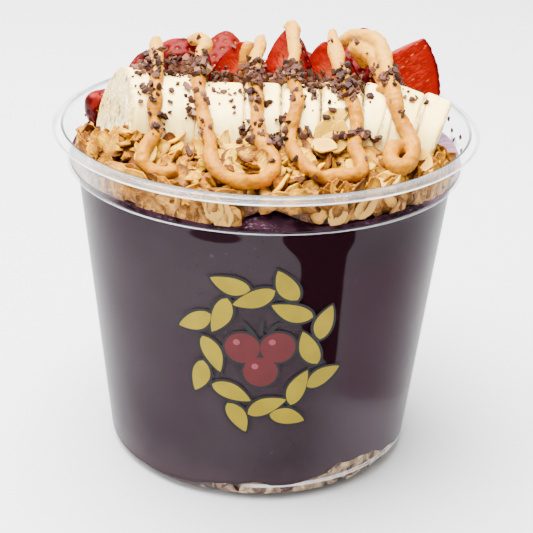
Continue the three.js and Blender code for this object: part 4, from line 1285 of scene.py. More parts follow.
def strawberry_finish(look):
    """Strawberry: deep red dimpled skin, and cut flesh paler towards the core with fine rays."""
    finish = Finish("cut_strawberry")
    own = finish.attribute("own", "Vector")
    flesh, depth, along, pit, cored, blush = (finish.attribute(name) for name in (
        "flesh", "depth", "along", "pit", "cored", "blush"))
    mottle = finish.cloud(3.0, 3.0)
    # Painted highlight: the ridges between the pits are lighter where the mottle is bright.
    ridge_highlight = finish.span(pit, 0.3, 0.02) * finish.span(mottle, 0.4, 0.65)
    skin = finish.layer(
        look.berry_deep, (finish.span(mottle, 0.35, 0.7), look.berry_red),
        (pit * 0.55 * (1.0 - blush), (0.06, 0.001, 0.002)), (ridge_highlight * 0.4, (0.22, 0.012, 0.01)),
        (blush, (0.1, 0.003, 0.0004)))
    rays = finish.cloud(900.0, 3.0, vector=own, stretch=(0.55, 0.55, 1.9), twist=0.3)
    core = finish.span(depth + (rays - 0.5) * 0.6, 0.55, 0.9) * finish.span(along, 0.85, 0.35)
    dash = finish.span(finish.cells(2400.0, vector=own, stretch=(0.8, 0.2, 1.9)), 0.24, 0.1)
    inner = finish.layer(
        look.berry_flesh, (finish.span(rays, 0.42, 0.64), look.berry_pale),
        (finish.span(depth, 0.62, 0.12), look.berry_flesh), (core * cored * 0.7, look.berry_core),
        (dash * (1.0 - cored) * 0.4, look.berry_core),
        (finish.span(depth, 0.16, 0.03), look.berry_deep))
    color = finish.blend(flesh, skin, inner)
    relief = finish.cloud(0.9, 3.0) * 0.4 + rays * flesh * 0.5
    return finish.close(color=color, roughness=finish.span(flesh, 0, 1, 0.4, 0.3),
                        normal=finish.bump(relief, 0.3, 0.6), specular=0.04)


class ACAIBOWL_OT_strawberry(Maker, bpy.types.Operator):
    """Make the strawberry pieces and their seeds"""
    bl_idname = "acaibowl.strawberry"
    bl_label = "Strawberry pieces"

    def make(self, look):
        material = strawberry_finish(look)
        spots = []
        for order, shape in enumerate(BERRIES):
            piece, seeds = self.piece(order, shape, material)
            spots += seeds
            settle(piece, "strawberry_flesh", f"strawberry_piece_{order + 1}")
        rng = random.Random(8)
        finish = Finish("strawberry_seed")
        color = finish.ramp(finish.attribute("tone"), [
            (0, (0.16, 0.06, 0.004)), (0.6, (0.08, 0.018, 0.003)), (1, (0.24, 0.11, 0.008))])
        finish.close(color=color, roughness=0.45, specular=0.1,
                     normal=finish.bump(finish.cloud(0.3), 0.1))
        spots = [(place, basis, size, rng.randrange(2), rng.random())
                 for place, basis, size in spots]
        shapes = [self.seed(0.25), self.seed(0.45)]
        seeds = scatter("strawberry_seeds", spots, shapes, finish.material, 4)
        settle(seeds, "strawberry_flesh", "strawberry_piece_2")

    def seed(self, taper):
        """A drop-shaped seed of unit half length along X."""
        rings = []
        for step in range(1, 5):
            share = step / 5
            girth = math.sin(math.pi * share) ** 0.7 * (1 - taper * share)
            rings.append([(2 * share - 1, *on_circle(girth, TURN * s / 7)) for s in range(7)])
        points, faces = revolve(rings)
        return points, faces, {}

    def piece(self, order, shape, material):
        """A berry turned about its length, cut by planes and rounded where it was cut."""
        calyx, tip, radius, turn, cut, thick, keep, crown = shape
        length = (Vector(tip) - Vector(calyx)).length
        matrix = berry_matrix(calyx, tip, turn)
        sides, stations = 48, 30
        rings = []
        for step in range(1, stations):
            share = 0.5 - 0.5 * math.cos(math.pi * step / stations)
            ring = []
            for side in range(sides):
                angle = TURN * side / sides
                across, back = on_circle(berry_girth(share, radius), angle)
                across *= 1 + 0.03 * math.sin(2 * angle + order)
                ring.append((across, back, share * length))
            rings.append(ring)
        points, faces = revolve(rings)
        body = new_piece(f"strawberry_cut_{order + 1}", points, faces, material)
        low, high = sorted((cut, cut + keep * thick))
        work = bmesh.new()
        work.from_mesh(body.data)
        slope = CROWN_SLOPE if crown else 0
        for place, normal in (((0, low, 0), (0, -1, 0)), ((0, high, 0), (0, 1, 0)),
                              ((0, 0, crown + CROWN_SIDE * slope), (slope, 0, -1))):
            geometry = [*work.verts, *work.edges, *work.faces]
            made = bmesh.ops.bisect_plane(work, geom=geometry, plane_co=Vector(place) * MM,
                                          plane_no=normal, clear_outer=True)
            edges = [part for part in made["geom_cut"] if isinstance(part, bmesh.types.BMEdge)]
            if edges:
                bmesh.ops.holes_fill(work, edges=edges)
        work.to_mesh(body.data)
        work.free()
        soften(body, 0.45, 2)
        return self.detail(body, order, matrix, length, radius, (low, high), crown)

    def detail(self, body, order, matrix, length, radius, slab, crown):
        """Dimples the skin, keeps what the colours need and lists the seeds that show."""
        spots = points_of(body.data)
        seeds = [(place, out) for place, out in berry_seeds(length, radius)
                 if slab[0] + 0.5 < place.y < slab[1] - 0.5 and place.z > crown + 0.5]
        tree = KDTree(max(1, len(seeds)))
        for number, (place, _) in enumerate(seeds):
            tree.insert(place, number)
        tree.balance()
        share = np.clip(spots[:, 2] / length, 0.001, 0.999)
        girth = np.array([berry_girth(value, radius) for value in share])
        reach = np.hypot(spots[:, 0], spots[:, 1])
        depth = 1 - reach / np.maximum(girth, 0.5)
        near_cut = np.minimum(spots[:, 1] - slab[0], slab[1] - spots[:, 1])
        if crown:
            sloped = crown + CROWN_SLOPE * (spots[:, 0] + CROWN_SIDE)
            near_cut = np.minimum(near_cut, spots[:, 2] - sloped)
        flesh = np.clip((0.42 - near_cut) / 0.3, 0, 1) * (reach < girth - 0.15)
        pits = np.zeros(len(spots))
        moved = spots.copy()
        for number, spot in enumerate(spots):
            ripple = 0.22 * noise.noise(Vector(spot) / 2.4 + Vector((order * 9, 0, 0)))
            ripple += 0.1 * noise.noise(Vector(spot) / 0.9 + Vector((0, order * 5, 0)))
            out = Vector((spot[0], spot[1] * 0.6, 0.0))
            if out.length > 0.01 and flesh[number] < 0.5:
                out.normalize()
                if seeds:
                    away = tree.find(Vector(spot))[2]
                    pits[number] = math.exp(-(away / 0.85) ** 2)
                moved[number] += np.array(out) * (ripple - 0.62 * pits[number] + 0.12)
            elif flesh[number] >= 0.5:
                moved[number][1] += ripple * 0.8
        placed = np.array(matrix.to_3x3()) @ moved.T + np.array(matrix.translation)[:, None]
        move_points(body.data, placed.T)
        body.data.shade_smooth()
        # The core runs along the cut face, so its distance sets how pale the flesh is.
        inner = 1 - np.abs(spots[:, 0]) / np.maximum(girth, 0.5)
        side = spots[:, 0] * 0.3 if crown else np.abs(spots[:, 0])
        own = np.stack([spots[:, 0] if crown else side, spots[:, 1], spots[:, 2] - 0.9 * side], 1)
        kept = {"flesh": flesh, "depth": np.clip(np.where(flesh > 0, inner, depth), 0, 1),
                "along": share, "pit": pits, "cored": np.full(len(spots), 0.0 if crown else 1.0),
                "blush": np.full(len(spots), 0.75 if order == BLUSHING_BERRY else 0.0), "own": own}
        for key, values in kept.items():
            add_attribute(body.data, key, values)
        if not body.data.materials:
            body.data.materials.append(bpy.data.materials["cut_strawberry"])
        turn_in = matrix.to_3x3()
        down = (turn_in @ Vector((0, 0, 1))).normalized()
        laid = []
        for place, out in seeds:
            basis_z = (turn_in @ out).normalized()
            side = (down - basis_z * down.dot(basis_z)).normalized()
            basis = Matrix((side, basis_z.cross(side), basis_z)).transposed()
            laid.append((matrix @ (place - out * 0.3), basis, Vector((0.58, 0.32, 0.2))))
        return body, laid


# Places across and up of each nut butter strand, from its top end to its foot
STRANDS = (
    ((-30.8, 107.6), (-30.6, 105.9), (-30.2, 103.4), (-29.5, 100.6), (-29, 97.9), (-29.1, 94),
     (-29, 89.1), (-28.8, 83.5), (-28.1, 80.2), (-29.5, 77.2), (-30.7, 74.5), (-30.5, 71.8),
     (-28.7, 70), (-25.2, 68.9), (-21.6, 69.8)),
    ((-22.2, 107.8), (-20.6, 108.5), (-18.9, 108.4), (-17.6, 107.2), (-17.4, 105.6), (-18.4, 104),
     (-18.4, 101.5), (-17.9, 99.1), (-18.5, 94.8), (-17.2, 89.3), (-15.9, 83.8), (-15.4, 81.3),
     (-14.2, 77.7), (-13.9, 75.6), (-13.3, 72.3), (-10.9, 69.2), (-7.3, 67.4), (-2.9, 67.2),
     (.6, 68.5), (2.4, 71.6), (2, 74.2), (-.1, 76.4), (-1.9, 81.2), (-2.4, 84.3), (-2.7, 89.8),
     (-3.3, 94.9), (-3.6, 98.4), (-3.2, 103.2), (-2.4, 106.5), (-2.4, 109.6)),
    ((-5.4, 109.4), (-6.3, 106.1), (-6.6, 103.1), (-6.2, 100)),
    ((4.7, 112.6), (5.8, 113.8), (6.7, 113.2), (6.6, 111.2), (6.7, 108.7), (7.1, 104.8), (6.9, 103),
     (6.6, 99.4), (7.2, 94.4), (8.1, 91.1), (7.4, 87.2), (6.6, 83.4), (6.5, 79), (6.6, 77.2),
     (8.2, 74.3), (11.1, 71.1), (14.2, 69.2), (18.3, 69.6), (22.4, 70), (24.4, 71.5), (23.9, 74.5),
     (22.6, 77.8), (23.2, 81.9), (23.5, 84.3), (22.8, 88), (22.2, 90), (20.8, 95), (18.9, 100.4),
     (18.5, 104.2), (17.7, 108.7), (17.4, 112)),
    ((20.2, 110.6), (24.2, 111.6), (28, 110.6), (30.4, 108.4), (31, 105.6), (31.5, 102.4),
     (32.1, 98.4), (32.8, 93.9), (33.4, 89.9), (34.4, 86.2), (36, 82.8), (37.4, 79.4),
     (37.4, 76), (35.8, 73.4), (33.6, 72.4), (32, 73.6), (31.7, 75.8), (32.6, 77.8),
     (34.1, 77.6), (34.5, 76.2), (33.9, 75.4)),
    ((23.4, 108.4), (26.4, 107.2), (28.4, 105), (29.6, 102), (30.6, 99.2), (31.6, 96)),
    ((24.6, 107), (26.6, 105.6), (28, 103.8)),
    ((29.2, 93.6), (31.4, 95.8), (33.2, 95.2)),
)
STRAND_WIDTHS, USUAL_WIDTH = (1.85, 1.95, 1.7, 1.95, 2.25, 2.8, 2.0, 1.6), 2.05
# Two short strands fill the fold of another and so lie level with it.
FOLDED_STRAND, FILLING_STRANDS = 4, (5, 6)


def heap_surface(names):
    """The named pieces as one surface for things to be laid on, in millimetres."""
    points, faces, start = [], [], 0
    for name in names:
        mesh = bpy.data.objects[name].data
        points += [Vector(spot) for spot in points_of(mesh)]
        faces += [tuple(start + vertex for vertex in face.vertices) for face in mesh.polygons]
        start = len(points)
    return BVHTree.FromPolygons(points, faces)


def heap_names(*more):
    """Names of the pieces that strands and nibs lie on."""
    return [*numbered("banana_round", BANANA_ROW), *numbered("strawberry_cut", BERRIES),
            "granola_crescent", "oat_flakes", *more]


def laying_start(across, up):
    """Where the ray begins that lays something at a place across and up."""
    return UPWARD * up - LAYING * LAYING_START + Vector((across, 0, 0))


def spline(points, step):
    """Points a step apart on a smooth curve through places across and up."""
    places = [Vector(point) for point in points]
    places = [2 * places[0] - places[1], *places, 2 * places[-1] - places[-2]]
    fine = []
    for order in range(1, len(places) - 2):
        before, start, end, after = places[order - 1:order + 3]
        count = max(2, round((end - start).length / step))
        for number in range(count):
            t = number / count
            fine.append(0.5 * (2 * start + (end - before) * t
                               + (2 * before - 5 * start + 4 * end - after) * t * t
                               + (3 * start - before - 3 * end + after) * t ** 3))
    return [*fine, places[-2]]


class ACAIBOWL_OT_nut_butter(Maker, bpy.types.Operator):
    """Lay the strands of nut butter over the heap"""
    bl_idname = "acaibowl.nut_butter"
    bl_label = "Nut butter"

    def make(self, look):
        surface = heap_surface(heap_names("toasted_clusters", "almond_slices"))
        radius = look.strand_radius / MM
        paths, start = [], 0
        points, edges, widths = [], [], []
        for order, places in enumerate(STRANDS):
            path = self.lay(spline(places, 0.7), surface, radius * 0.55)
            if order in FILLING_STRANDS:
                folded = paths[FOLDED_STRAND]
                near = [min(folded, key=lambda other: (spot - other).length) for spot in path]
                path = [spot + LAYING * ((other - spot).dot(LAYING) + 0.5)
                        for spot, other in zip(path, near)]
            count = len(path)
            for number, spot in enumerate(path):
                end = min(number, count - 1 - number)
                swell = 1 + 0.36 * noise.noise(Vector((number * 0.12, order * 3.7, 0)))
                taper = 0.72 + 0.28 * min(1, end / 3)
                widths.append(STRAND_WIDTHS[order] / USUAL_WIDTH * swell * taper)
                points.append(spot)
            edges += [(start + number, start + number + 1) for number in range(count - 1)]
            start += count
            paths.append(path)
        mesh = bpy.data.meshes.new("nut_butter_strands")
        mesh.from_pydata([spot * MM for spot in points], edges, [])
        add_attribute(mesh, "width", widths)
        piece = put("nut_butter_strands", mesh)
        material = self.finish(look)
        run_group(piece, self.strand_group(), Radius=look.strand_radius, Material=material)
        soften(piece, 0.36, 5)
        self.ripple(piece)
        if not piece.data.materials:
            piece.data.materials.append(material)
        settle(piece, "toasted_oats", "granola_topping", *numbered("banana_slice", BANANA_ROW))

    def lay(self, path, surface, rise):
        """Lets a path down on the surface; it bridges dips and sags only a little between."""
        depths = []
        for across, up in path:
            start = laying_start(across, up)
            hit = surface.ray_cast(start, LAYING)[3]
            if hit is None:
                hit = surface.ray_cast(laying_start(across, up - 2.3), LAYING)[3]
            depths.append(hit)
        known = [number for number, depth in enumerate(depths) if depth is not None]
        depths = list(np.interp(range(len(path)), known, [depths[number] for number in known]))
        slope = 0.75
        for order in (range(1, len(depths)), range(len(depths) - 2, -1, -1)):
            for number in order:
                neighbour = depths[number - 1 if order.step > 0 else number + 1]
                depths[number] = min(depths[number], neighbour + slope)
        window = np.exp(-(np.arange(-5, 6) / 2.4) ** 2)
        padded = np.pad(depths, 5, mode="edge")
        depths = np.convolve(padded, window / window.sum(), mode="valid")
        return [laying_start(across, up) + LAYING * (depth - rise)
                for (across, up), depth in zip(path, depths)]

    def strand_group(self):
        """Geometry nodes that turn wires into tubes of their own width."""
        group, tree, given = open_group("Strand", Geometry="Geometry", Radius="Float",
                                        Material="Material")
        curve = tree.node("GeometryNodeMeshToCurve", inputs={"Mesh": given["Geometry"]})
        width = tree.node("GeometryNodeInputNamedAttribute", {"data_type": "FLOAT"},
                          {"Name": "width"}) * given["Radius"]
        curve = tree.node("GeometryNodeSetCurveRadius", inputs={"Curve": curve, "Radius": width})
        circle = tree.node("GeometryNodeCurvePrimitiveCircle", inputs={
            "Resolution": 14, "Radius": 1.0})
        tube = tree.node("GeometryNodeCurveToMesh", inputs={
            "Curve": curve, "Profile Curve": circle, "Fill Caps": True})
        sockets = tube.socket.node.inputs
        if "Scale" in sockets:
            tree.feed(sockets["Scale"], width)
        close_group(tree, tube, given["Material"])
        return group

    def ripple(self, piece):
        """Adds the low folds of a thick paste."""
        mesh = piece.data
        spots = points_of(mesh)
        normals = np.zeros(len(spots) * 3, np.float32)
        mesh.vertices.foreach_get("normal", normals)
        normals = normals.reshape(-1, 3)
        push = np.array([0.3 * noise.noise(Vector(spot) / 2.1) + 0.14 * noise.noise(
            Vector(spot) / 0.9) for spot in spots])
        move_points(mesh, spots + normals * push[:, None])
        mesh.shade_smooth()

    def finish(self, look):
        finish = Finish("nut_butter")
        blots = finish.cloud(4.0, 3.0)
        specks = finish.span(finish.cells(1.3), 0.16, 0.08) * finish.patches(3.0, 2.0, 0.48, 0.6)
        z = finish.along()[2]
        color = finish.layer(
            look.butter_color, (finish.span(blots, 0.3, 0.7), look.butter_warm),
            # Painted highlight: paler towards the top of the heap.
            (finish.span(z, 110.0, 116.0) * 0.6, (0.5, 0.25, 0.03)),
            (specks * 0.55, (0.14, 0.04, 0.008)))
        relief = finish.cloud(1.2, 4.0)
        return finish.close(color=color, roughness=finish.span(blots, 0.35, 0.65, 0.2, 0.36),
                            normal=finish.bump(relief, 0.35, 0.7), subsurface=0.05,
                            reach=(1.0, 0.6, 0.3), reach_scale=0.001, specular=0.06)


# Centre across and up, half widths and number of nibs of each sprinkled patch
NIB_FIELDS = (
    (-20, 99.8, 4.5, 3.6, 60), (-26, 99.4, 9.5, 4.6, 230), (-29, 103.6, 5, 2, 14),
    (-10, 98.4, 8.5, 4.2, 210), (3, 98.6, 6.5, 4, 130), (10, 98.6, 6.5, 3, 110),
    (12.5, 95.6, 3, 3, 34), (21.4, 95.6, 5.5, 6.4, 180), (30.3, 98.6, 3.8, 4, 60),
    (37, 97, 6, 2.4, 12), (-31.6, 91.8, 3.2, 3.9, 26), (-28.2, 82, 2.2, 3.8, 22),
    (-19.7, 86.5, 1.6, 3.4, 18), (-16, 81, 2.6, 2.6, 8), (-11, 92, 4.6, 2.6, 14),
    (-4, 92, 2.2, 4, 20), (-4, 81.6, 3.2, 4.4, 34), (2.9, 78.8, 2.6, 2.6, 42),
    (4.5, 85, 2, 1.4, 8), (9.8, 81.6, 1.6, 2.6, 18), (9, 92, 4, 2, 16), (20, 81, 3.2, 1.4, 16),
    (24, 81.4, 2.2, 1.5, 24), (28, 81, 1.4, 2, 8), (2, 90, 37, 7, 60), (0, 107, 30, 4, 14),
    (0, 73, 34, 5, 8), (36, 91, 6, 5, 8),
)
# Places of single nibs on the blend at the left, and turn and level of those on the wall at the
# right
LOOSE_NIBS = ((-49, 12, 88.6), (-47.5, 9, 88.8), (-49.5, 6, 88.4), (-50, -1, 88.8),
              (-48.6, 2.5, 88.4), (-50.4, 9, 91.5))
WALL_NIBS = ((4, 91.2), (10, 88.4), (17, 92.3), (13, 90.1), (-2, 89.3))


class ACAIBOWL_OT_nibs(Maker, bpy.types.Operator):
    """Sprinkle the cacao nibs over the heap"""
    bl_idname = "acaibowl.nibs"
    bl_label = "Cacao nibs"

    def make(self, look):
        rng = random.Random(look.seed + 6)
        surface = heap_surface(heap_names("nut_butter_strands", "almond_slices", "acai_blend"))
        spots = []
        share = look.nib_count / sum(field[4] for field in NIB_FIELDS)
        for across, up, half_across, half_up, count in NIB_FIELDS:
            for _ in range(round(count * share)):
                start = laying_start(across + half_across * rng.uniform(-1, 1),
                                     up + half_up * (rng.random() + rng.random() - 1))
                place, normal, _, _ = surface.ray_cast(start, LAYING)
                size = 0.45 + 1.3 * rng.random() ** 1.5
                tilt = Vector((rng.gauss(0, .3), rng.gauss(0, .3), rng.gauss(0, .3)))
                spin, kind, tone = rng.uniform(0, TURN), rng.randrange(8), rng.random()
                flat = Vector((1.0, rng.uniform(0.6, 0.95), rng.uniform(0.45, 0.8))) * size
                if place is None or normal.dot(LAYING) > -0.1:
                    continue
                basis = facing_basis(normal + tilt, spin)
                lift = normal * flat.z * 0.55 - LAYING * 0.1
                spots.append((place + lift, basis, flat, kind, tone))
        for x, y, z in LOOSE_NIBS:
            basis = facing_basis(Vector((rng.uniform(-1, 1), rng.uniform(-1, 1), 1)), 1)
            below = surface.ray_cast(Vector((x, y, z + 2)), Vector((0, 0, -1)))[0]
            spots.append((below + Vector((0, 0, 0.4)), basis, Vector((1.7, 1.2, 1.0)),
                          rng.randrange(8), rng.random()))
        for degrees, level in WALL_NIBS:
            turn = math.radians(degrees)
            place = polar(collar_radius(level) - CUP_WALL - 0.35, turn, level)
            spots.append((place, facing_basis(polar(-1, turn, 0.1), turn), Vector((1.1, 0.7, 0.45)),
                          rng.randrange(8), rng.random()))
        finish = Finish("cacao_nib")
        color = finish.ramp(finish.attribute("tone"), [
            (0.0, look.nib_dark), (0.3, look.nib_dark), (0.36, look.nib_brown),
            (0.8, look.nib_brown), (0.86, look.nib_pink), (0.96, look.nib_pink),
            (0.97, look.nib_husk)], "CONSTANT")
        dust = finish.patches(0.5, 3.0, 0.5, 0.72)
        color = finish.blend(dust * 0.45, color, look.nib_pink)
        finish.close(color=color, roughness=finish.span(dust, 0, 1, 0.42, 0.65), specular=0.05,
                     normal=finish.bump(finish.cloud(0.35, 3.0), 0.25))
        shapes = [shard_shape(rng, 11) for _ in range(8)]
        nibs = scatter("cacao_nibs", spots, shapes, finish.material, 12, 0.1)
        settle(nibs, "toasted_oats", "granola_topping", *numbered("banana_slice", BANANA_ROW))


def leaf_outline(length, width, bend):
    """A pointed leaf from its stalk at the origin along +X."""
    steps = 14

    def edge(side, numbers):
        return [(length * s / steps,
                 side * width / 2 * math.sin(math.pi * (s / steps) ** 0.8) ** 0.8
                 + bend * math.sin(math.pi * s / steps)) for s in numbers]

    return edge(1, range(steps + 1)) + edge(-1, range(steps - 1, 0, -1))


def round_outline(radius):
    return [on_circle(radius, TURN * s / 24) for s in range(24)]


class ACAIBOWL_OT_print(Maker, bpy.types.Operator):
    """Print a wreath of leaves round three berries on the front of the cup"""
    bl_idname = "acaibowl.print"
    bl_label = "Printed wreath"

    def make(self, look):
        leaves, darks, reds, shines = [], [], [], []
        for order in range(WREATH_LEAVES):
            turn = TURN * (order + 0.5) / WREATH_LEAVES
            stalk = (WREATH_CENTRE[0] + WREATH_REACH[0] * math.cos(turn),
                     WREATH_CENTRE[1] + WREATH_REACH[1] * math.sin(turn))
            heading = turn + math.pi / 2 + (0.62 if order % 2 else -0.45)
            size = 11.4 if order % 2 else 10.2
            leaves.append(self.laid(leaf_outline(size, 5.0, 0.5), stalk, heading))
            darks.append(self.laid(leaf_outline(size + 1.7, 6.6, 0.5), stalk, heading, -0.85))
        for x, z, radius in ((-4.4, 50.6, 4.6), (4.8, 51.0, 4.6), (0.5, 43.4, 4.6)):
            reds.append(self.laid(round_outline(radius), (x, z), 0.0))
            darks.append(self.laid(round_outline(radius + 0.7), (x, z), 0.0))
            shines.append(self.laid(round_outline(0.9), (x - 1.5, z + 1.7), 0.0))
        for heading, stalk in ((2.2, (-1.6, 55.6)), (1.5, (0.6, 56.0)), (0.9, (2.8, 55.6))):
            darks.append(self.laid(leaf_outline(6.0, 1.3, 0.4), stalk, heading, -1.5))
        inks = (("print_outline", darks, 0.03, look.ink_dark),
                ("print_leaves", leaves, 0.07, look.ink_yellow),
                ("print_berries", reds, 0.07, look.ink_red),
                ("print_shine", shines, 0.1, look.ink_pale))
        for name, shapes, lift, ink in inks:
            finish = Finish(name.replace("print", "ink"))
            wear = finish.patches(0.8, 3.0, 0.3, 0.75)
            shade = finish.patches(7.0, 2.0, 0.35, 0.7)
            color = finish.blend(shade * 0.45, ink, tuple(0.62 * part for part in tuple(ink)[:3]))
            finish.close(color=color, specular=0.15, roughness=finish.span(wear, 0, 1, 0.3, 0.42),
                         normal=finish.bump(wear, 0.02))
            points, faces = [], []
            for shape in shapes:
                self.film(shape, lift, points, faces)
            piece = new_piece(name, points, faces, finish.material, 30)
            settle(piece, "clear_plastic", "cup")

    def laid(self, outline, origin, heading, shift=0.0):
        """An outline shifted along its length, turned to a heading and moved to its origin."""
        cos, sin = math.cos(heading), math.sin(heading)
        return [(origin[0] + (x + shift) * cos - y * sin, origin[1] + (x + shift) * sin + y * cos)
                for x, y in outline]

    def film(self, outline, lift, points, faces):
        """A closed film of ink on the outside of the wall, in the shape of an outline."""
        middle = [sum(part) / len(outline) for part in zip(*outline)]
        rings = []
        for share, over in ((0.5, 1), (1.0, 1), (1.0, 0), (0.5, 0)):
            ring = []
            for x, z in outline:
                across = middle[0] + (x - middle[0]) * share
                level = middle[1] + (z - middle[1]) * share
                ring.append(self.on_wall(across, level, lift if over else 0.01))
            rings.append(ring)
        made, skin = revolve(rings[::-1])
        made[-2] = self.on_wall(*middle, 0.01)
        made[-1] = self.on_wall(*middle, lift)
        start = len(points)
        points += made
        faces += [tuple(start + corner for corner in face) for face in skin]

    def on_wall(self, x, z, lift):
        """A place on the cup's wall, lifted off it."""
        turn = -math.pi / 2 + x / wall_radius(WREATH_CENTRE[1])
        return (*on_circle(wall_radius(z) + lift, turn), z)


class ACAIBOWL_OT_stage(Maker, bpy.types.Operator):
    """Make the pale floor, the soft studio light and the camera"""
    bl_idname = "acaibowl.stage"
    bl_label = "Stage"

    def make(self, look):
        floor = new_piece("floor", ring_at(6000, -0.05, 64), [tuple(range(64))], None)
        finish = Finish("floor_paint")
        finish.close(color=look.floor_color, roughness=0.7, specular=0.1,
                     normal=finish.bump(finish.cloud(40.0), 0.02))
        floor.data.materials.append(finish.material)
        world = bpy.data.worlds.new("studio")
        world.use_nodes = True
        tree = Tree(world.node_tree)
        sky = tree.node("ShaderNodeBackground", inputs={"Color": (1, 1, 1), "Strength": look.sky})
        tree.node("ShaderNodeOutputWorld", inputs={"Surface": sky})
        bpy.context.scene.world = world
        self.lamp(*OVERHEAD_SOFTBOX, look.key_power)
        self.lamp(*SIDE_SOFTBOX, look.side_power)
        self.camera()

    def lamp(self, name, place, width, height, power):
        """A rectangular softbox aimed at the bowl."""
        light = bpy.data.lights.new(name, "AREA")
        light.shape, light.size, light.size_y = "RECTANGLE", width, height
        light.energy = power
        lamp = put(name, light)
        lamp.location = place
        lamp.rotation_euler = (LAMP_AIM - Vector(place)).to_track_quat("-Z", "Y").to_euler()

    def camera(self):
        lens = bpy.data.cameras.new("camera")
        lens.lens, lens.sensor_width = CAMERA_LENS, 36.0
        camera = put("camera", lens)
        turned = Matrix.Translation(CAMERA_PLACE)
        for degrees, axis in ((CAMERA_PAN, "Z"), (CAMERA_TILT, "X"), (CAMERA_ROLL, "Z")):
            turned = turned @ Matrix.Rotation(math.radians(degrees), 4, axis)
        camera.matrix_world = turned
        bpy.context.scene.camera = camera


# ---- properties and panel
def colour(name, description, default):
    """A colour that a user may change."""
    return FloatVectorProperty(name=name, description=description, default=default, size=3,
                               subtype="COLOR", min=0, max=1)


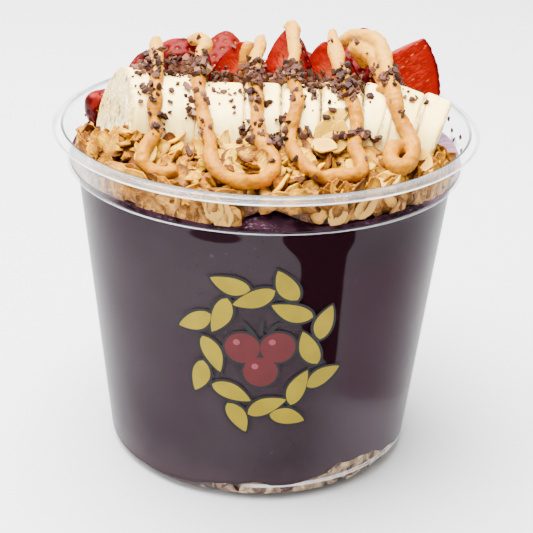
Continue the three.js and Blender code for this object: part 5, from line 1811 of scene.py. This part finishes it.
class AcaiBowlLook(bpy.types.PropertyGroup):
    """Sizes and colours of the bowl that a user may change."""
    plastic_color: colour("Plastic", "Colour of the clear plastic", (0.95, 0.96, 0.97))
    shine: FloatProperty(name="Shine", description="Strength of the plastic's reflections",
                         default=0.5, min=0, max=1, subtype="FACTOR")
    # The blend's colours behind the wall are greyed by a painted reflection of the bright room.
    acai_color: colour("Blend", "Colour of the blend behind the wall", (0.0295, 0.0225, 0.0265))
    acai_shade: colour("Blend shade", "Colour of the darker parts of the blend",
                       (0.0245, 0.017, 0.021))
    acai_foot: colour("Blend foot", "Colour of the blend near the foot", (0.043, 0.03, 0.034))
    acai_wet: colour("Wet blend", "Colour where the blend wets the wall", (0.0075, 0.0019, 0.0034))
    acai_top: colour("Blend top", "Colour of the blend's open surface", (0.028, 0.011, 0.018))
    oat_pale: colour("Oat pale", "Palest oats", (0.6, 0.33, 0.005))
    oat_cream: colour("Oat cream", "Usual colour of the oats", (0.36, 0.155, 0.0))
    oat_toast: colour("Oat toasted", "Toasted parts of the oats", (0.17, 0.055, 0.0))
    oat_dark: colour("Oat dark", "Darkest parts of the oats", (0.06, 0.015, 0.0))
    banana_color: colour("Banana", "Colour of the banana's sides", (0.97, 0.76, 0.27))
    banana_warm: colour("Banana warm", "Warm streaks of the banana", (0.82, 0.56, 0.13))
    # Also the painted shade low on the slices and at their seams.
    banana_deep: colour("Banana low", "Colour of the banana's lower edges", (0.52, 0.29, 0.04))
    berry_red: colour("Berry", "Colour of the berry's skin", (0.08, 0.0002, 0.0003))
    berry_deep: colour("Berry deep", "Darkest red of the berry", (0.035, 0.0002, 0.0004))
    berry_flesh: colour("Berry flesh", "Red of the cut flesh", (0.125, 0.0007, 0.0002))
    berry_pale: colour("Berry rays", "Paler rays in the cut flesh", (0.19, 0.008, 0.001))
    berry_core: colour("Berry core", "Pale core of the berry", (0.55, 0.11, 0.035))
    butter_color: colour("Nut butter", "Colour of the nut butter", (0.35, 0.132, 0.0))
    butter_warm: colour("Nut butter warm", "Warmer parts of the nut butter", (0.25, 0.085, 0.0))
    nib_brown: colour("Nib brown", "Usual colour of the nibs", (0.064, 0.026, 0.0165))
    nib_dark: colour("Nib dark", "Darkest nibs", (0.024, 0.012, 0.01))
    nib_pink: colour("Nib pale", "Paler broken faces of the nibs", (0.13, 0.056, 0.035))
    nib_husk: colour("Nib husk", "Flecks of husk", (0.22, 0.12, 0.06))
    ink_yellow: colour("Ink yellow", "Yellow ink of the print", (0.205, 0.148, 0.0001))
    ink_dark: colour("Ink dark", "Dark ink of the print", (0.003, 0.003, 0.004))
    ink_red: colour("Ink red", "Crimson ink of the print", (0.06, 0.003, 0.005))
    ink_pale: colour("Ink pale", "Light dots of the print", (0.16, 0.03, 0.045))
    floor_color: colour("Floor", "Colour of the floor", (0.5, 0.5, 0.5))
    strand_radius: FloatProperty(name="Strand radius", description="Half width of the nut butter",
                                 default=1.95 * MM, min=0.5 * MM, max=4 * MM, unit="LENGTH",
                                 subtype="DISTANCE")
    flake_count: IntProperty(name="Oats on top", description="Flakes on the crescent",
                             default=520, min=1, max=900)
    wall_flake_count: IntProperty(name="Oats at the wall", description="Flakes against the collar",
                                  default=200, min=1, max=400)
    nib_count: IntProperty(name="Nibs", description="Cacao nibs over the heap", default=1310, min=1,
                           max=2400)
    seed: IntProperty(name="Seed", description="Seed of everything scattered", default=21, min=0)
    sky: FloatProperty(name="Sky", description="Strength of the light all round", default=1.3,
                       min=0, max=20)
    key_power: FloatProperty(name="Overhead light", description="Power of the overhead softbox",
                             default=108.0, min=0, max=500, unit="POWER")
    side_power: FloatProperty(name="Side light", description="Power of the side softbox",
                              default=12.0, min=0, max=500, unit="POWER")


class ACAIBOWL_PT_panel(bpy.types.Panel):
    """Lists the bowl's pieces and their settings"""
    bl_idname = "ACAIBOWL_PT_panel"
    bl_label = "Acai Bowl"
    bl_space_type = "VIEW_3D"
    bl_region_type = "UI"
    bl_category = "Acai Bowl"

    def draw(self, context):
        column = self.layout.column(align=True)
        for operator in OPERATORS:
            column.operator(operator.bl_idname)
        column = self.layout.column()
        for name in AcaiBowlLook.__annotations__:
            column.prop(context.scene.acai_bowl, name)


OPERATORS = (ACAIBOWL_OT_cup, ACAIBOWL_OT_fills, ACAIBOWL_OT_granola, ACAIBOWL_OT_banana,
             ACAIBOWL_OT_strawberry, ACAIBOWL_OT_nut_butter, ACAIBOWL_OT_nibs, ACAIBOWL_OT_print,
             ACAIBOWL_OT_stage)


def register():
    for kind in (AcaiBowlLook, *OPERATORS, ACAIBOWL_PT_panel):
        bpy.utils.register_class(kind)
    bpy.types.Scene.acai_bowl = PointerProperty(type=AcaiBowlLook)


def unregister():
    del bpy.types.Scene.acai_bowl
    for kind in (ACAIBOWL_PT_panel, *reversed(OPERATORS), AcaiBowlLook):
        bpy.utils.unregister_class(kind)


def main():
    register()
    for operator in OPERATORS:
        group, name = operator.bl_idname.split(".")
        getattr(getattr(bpy.ops, group), name)()


if __name__ == "__main__":
    main()
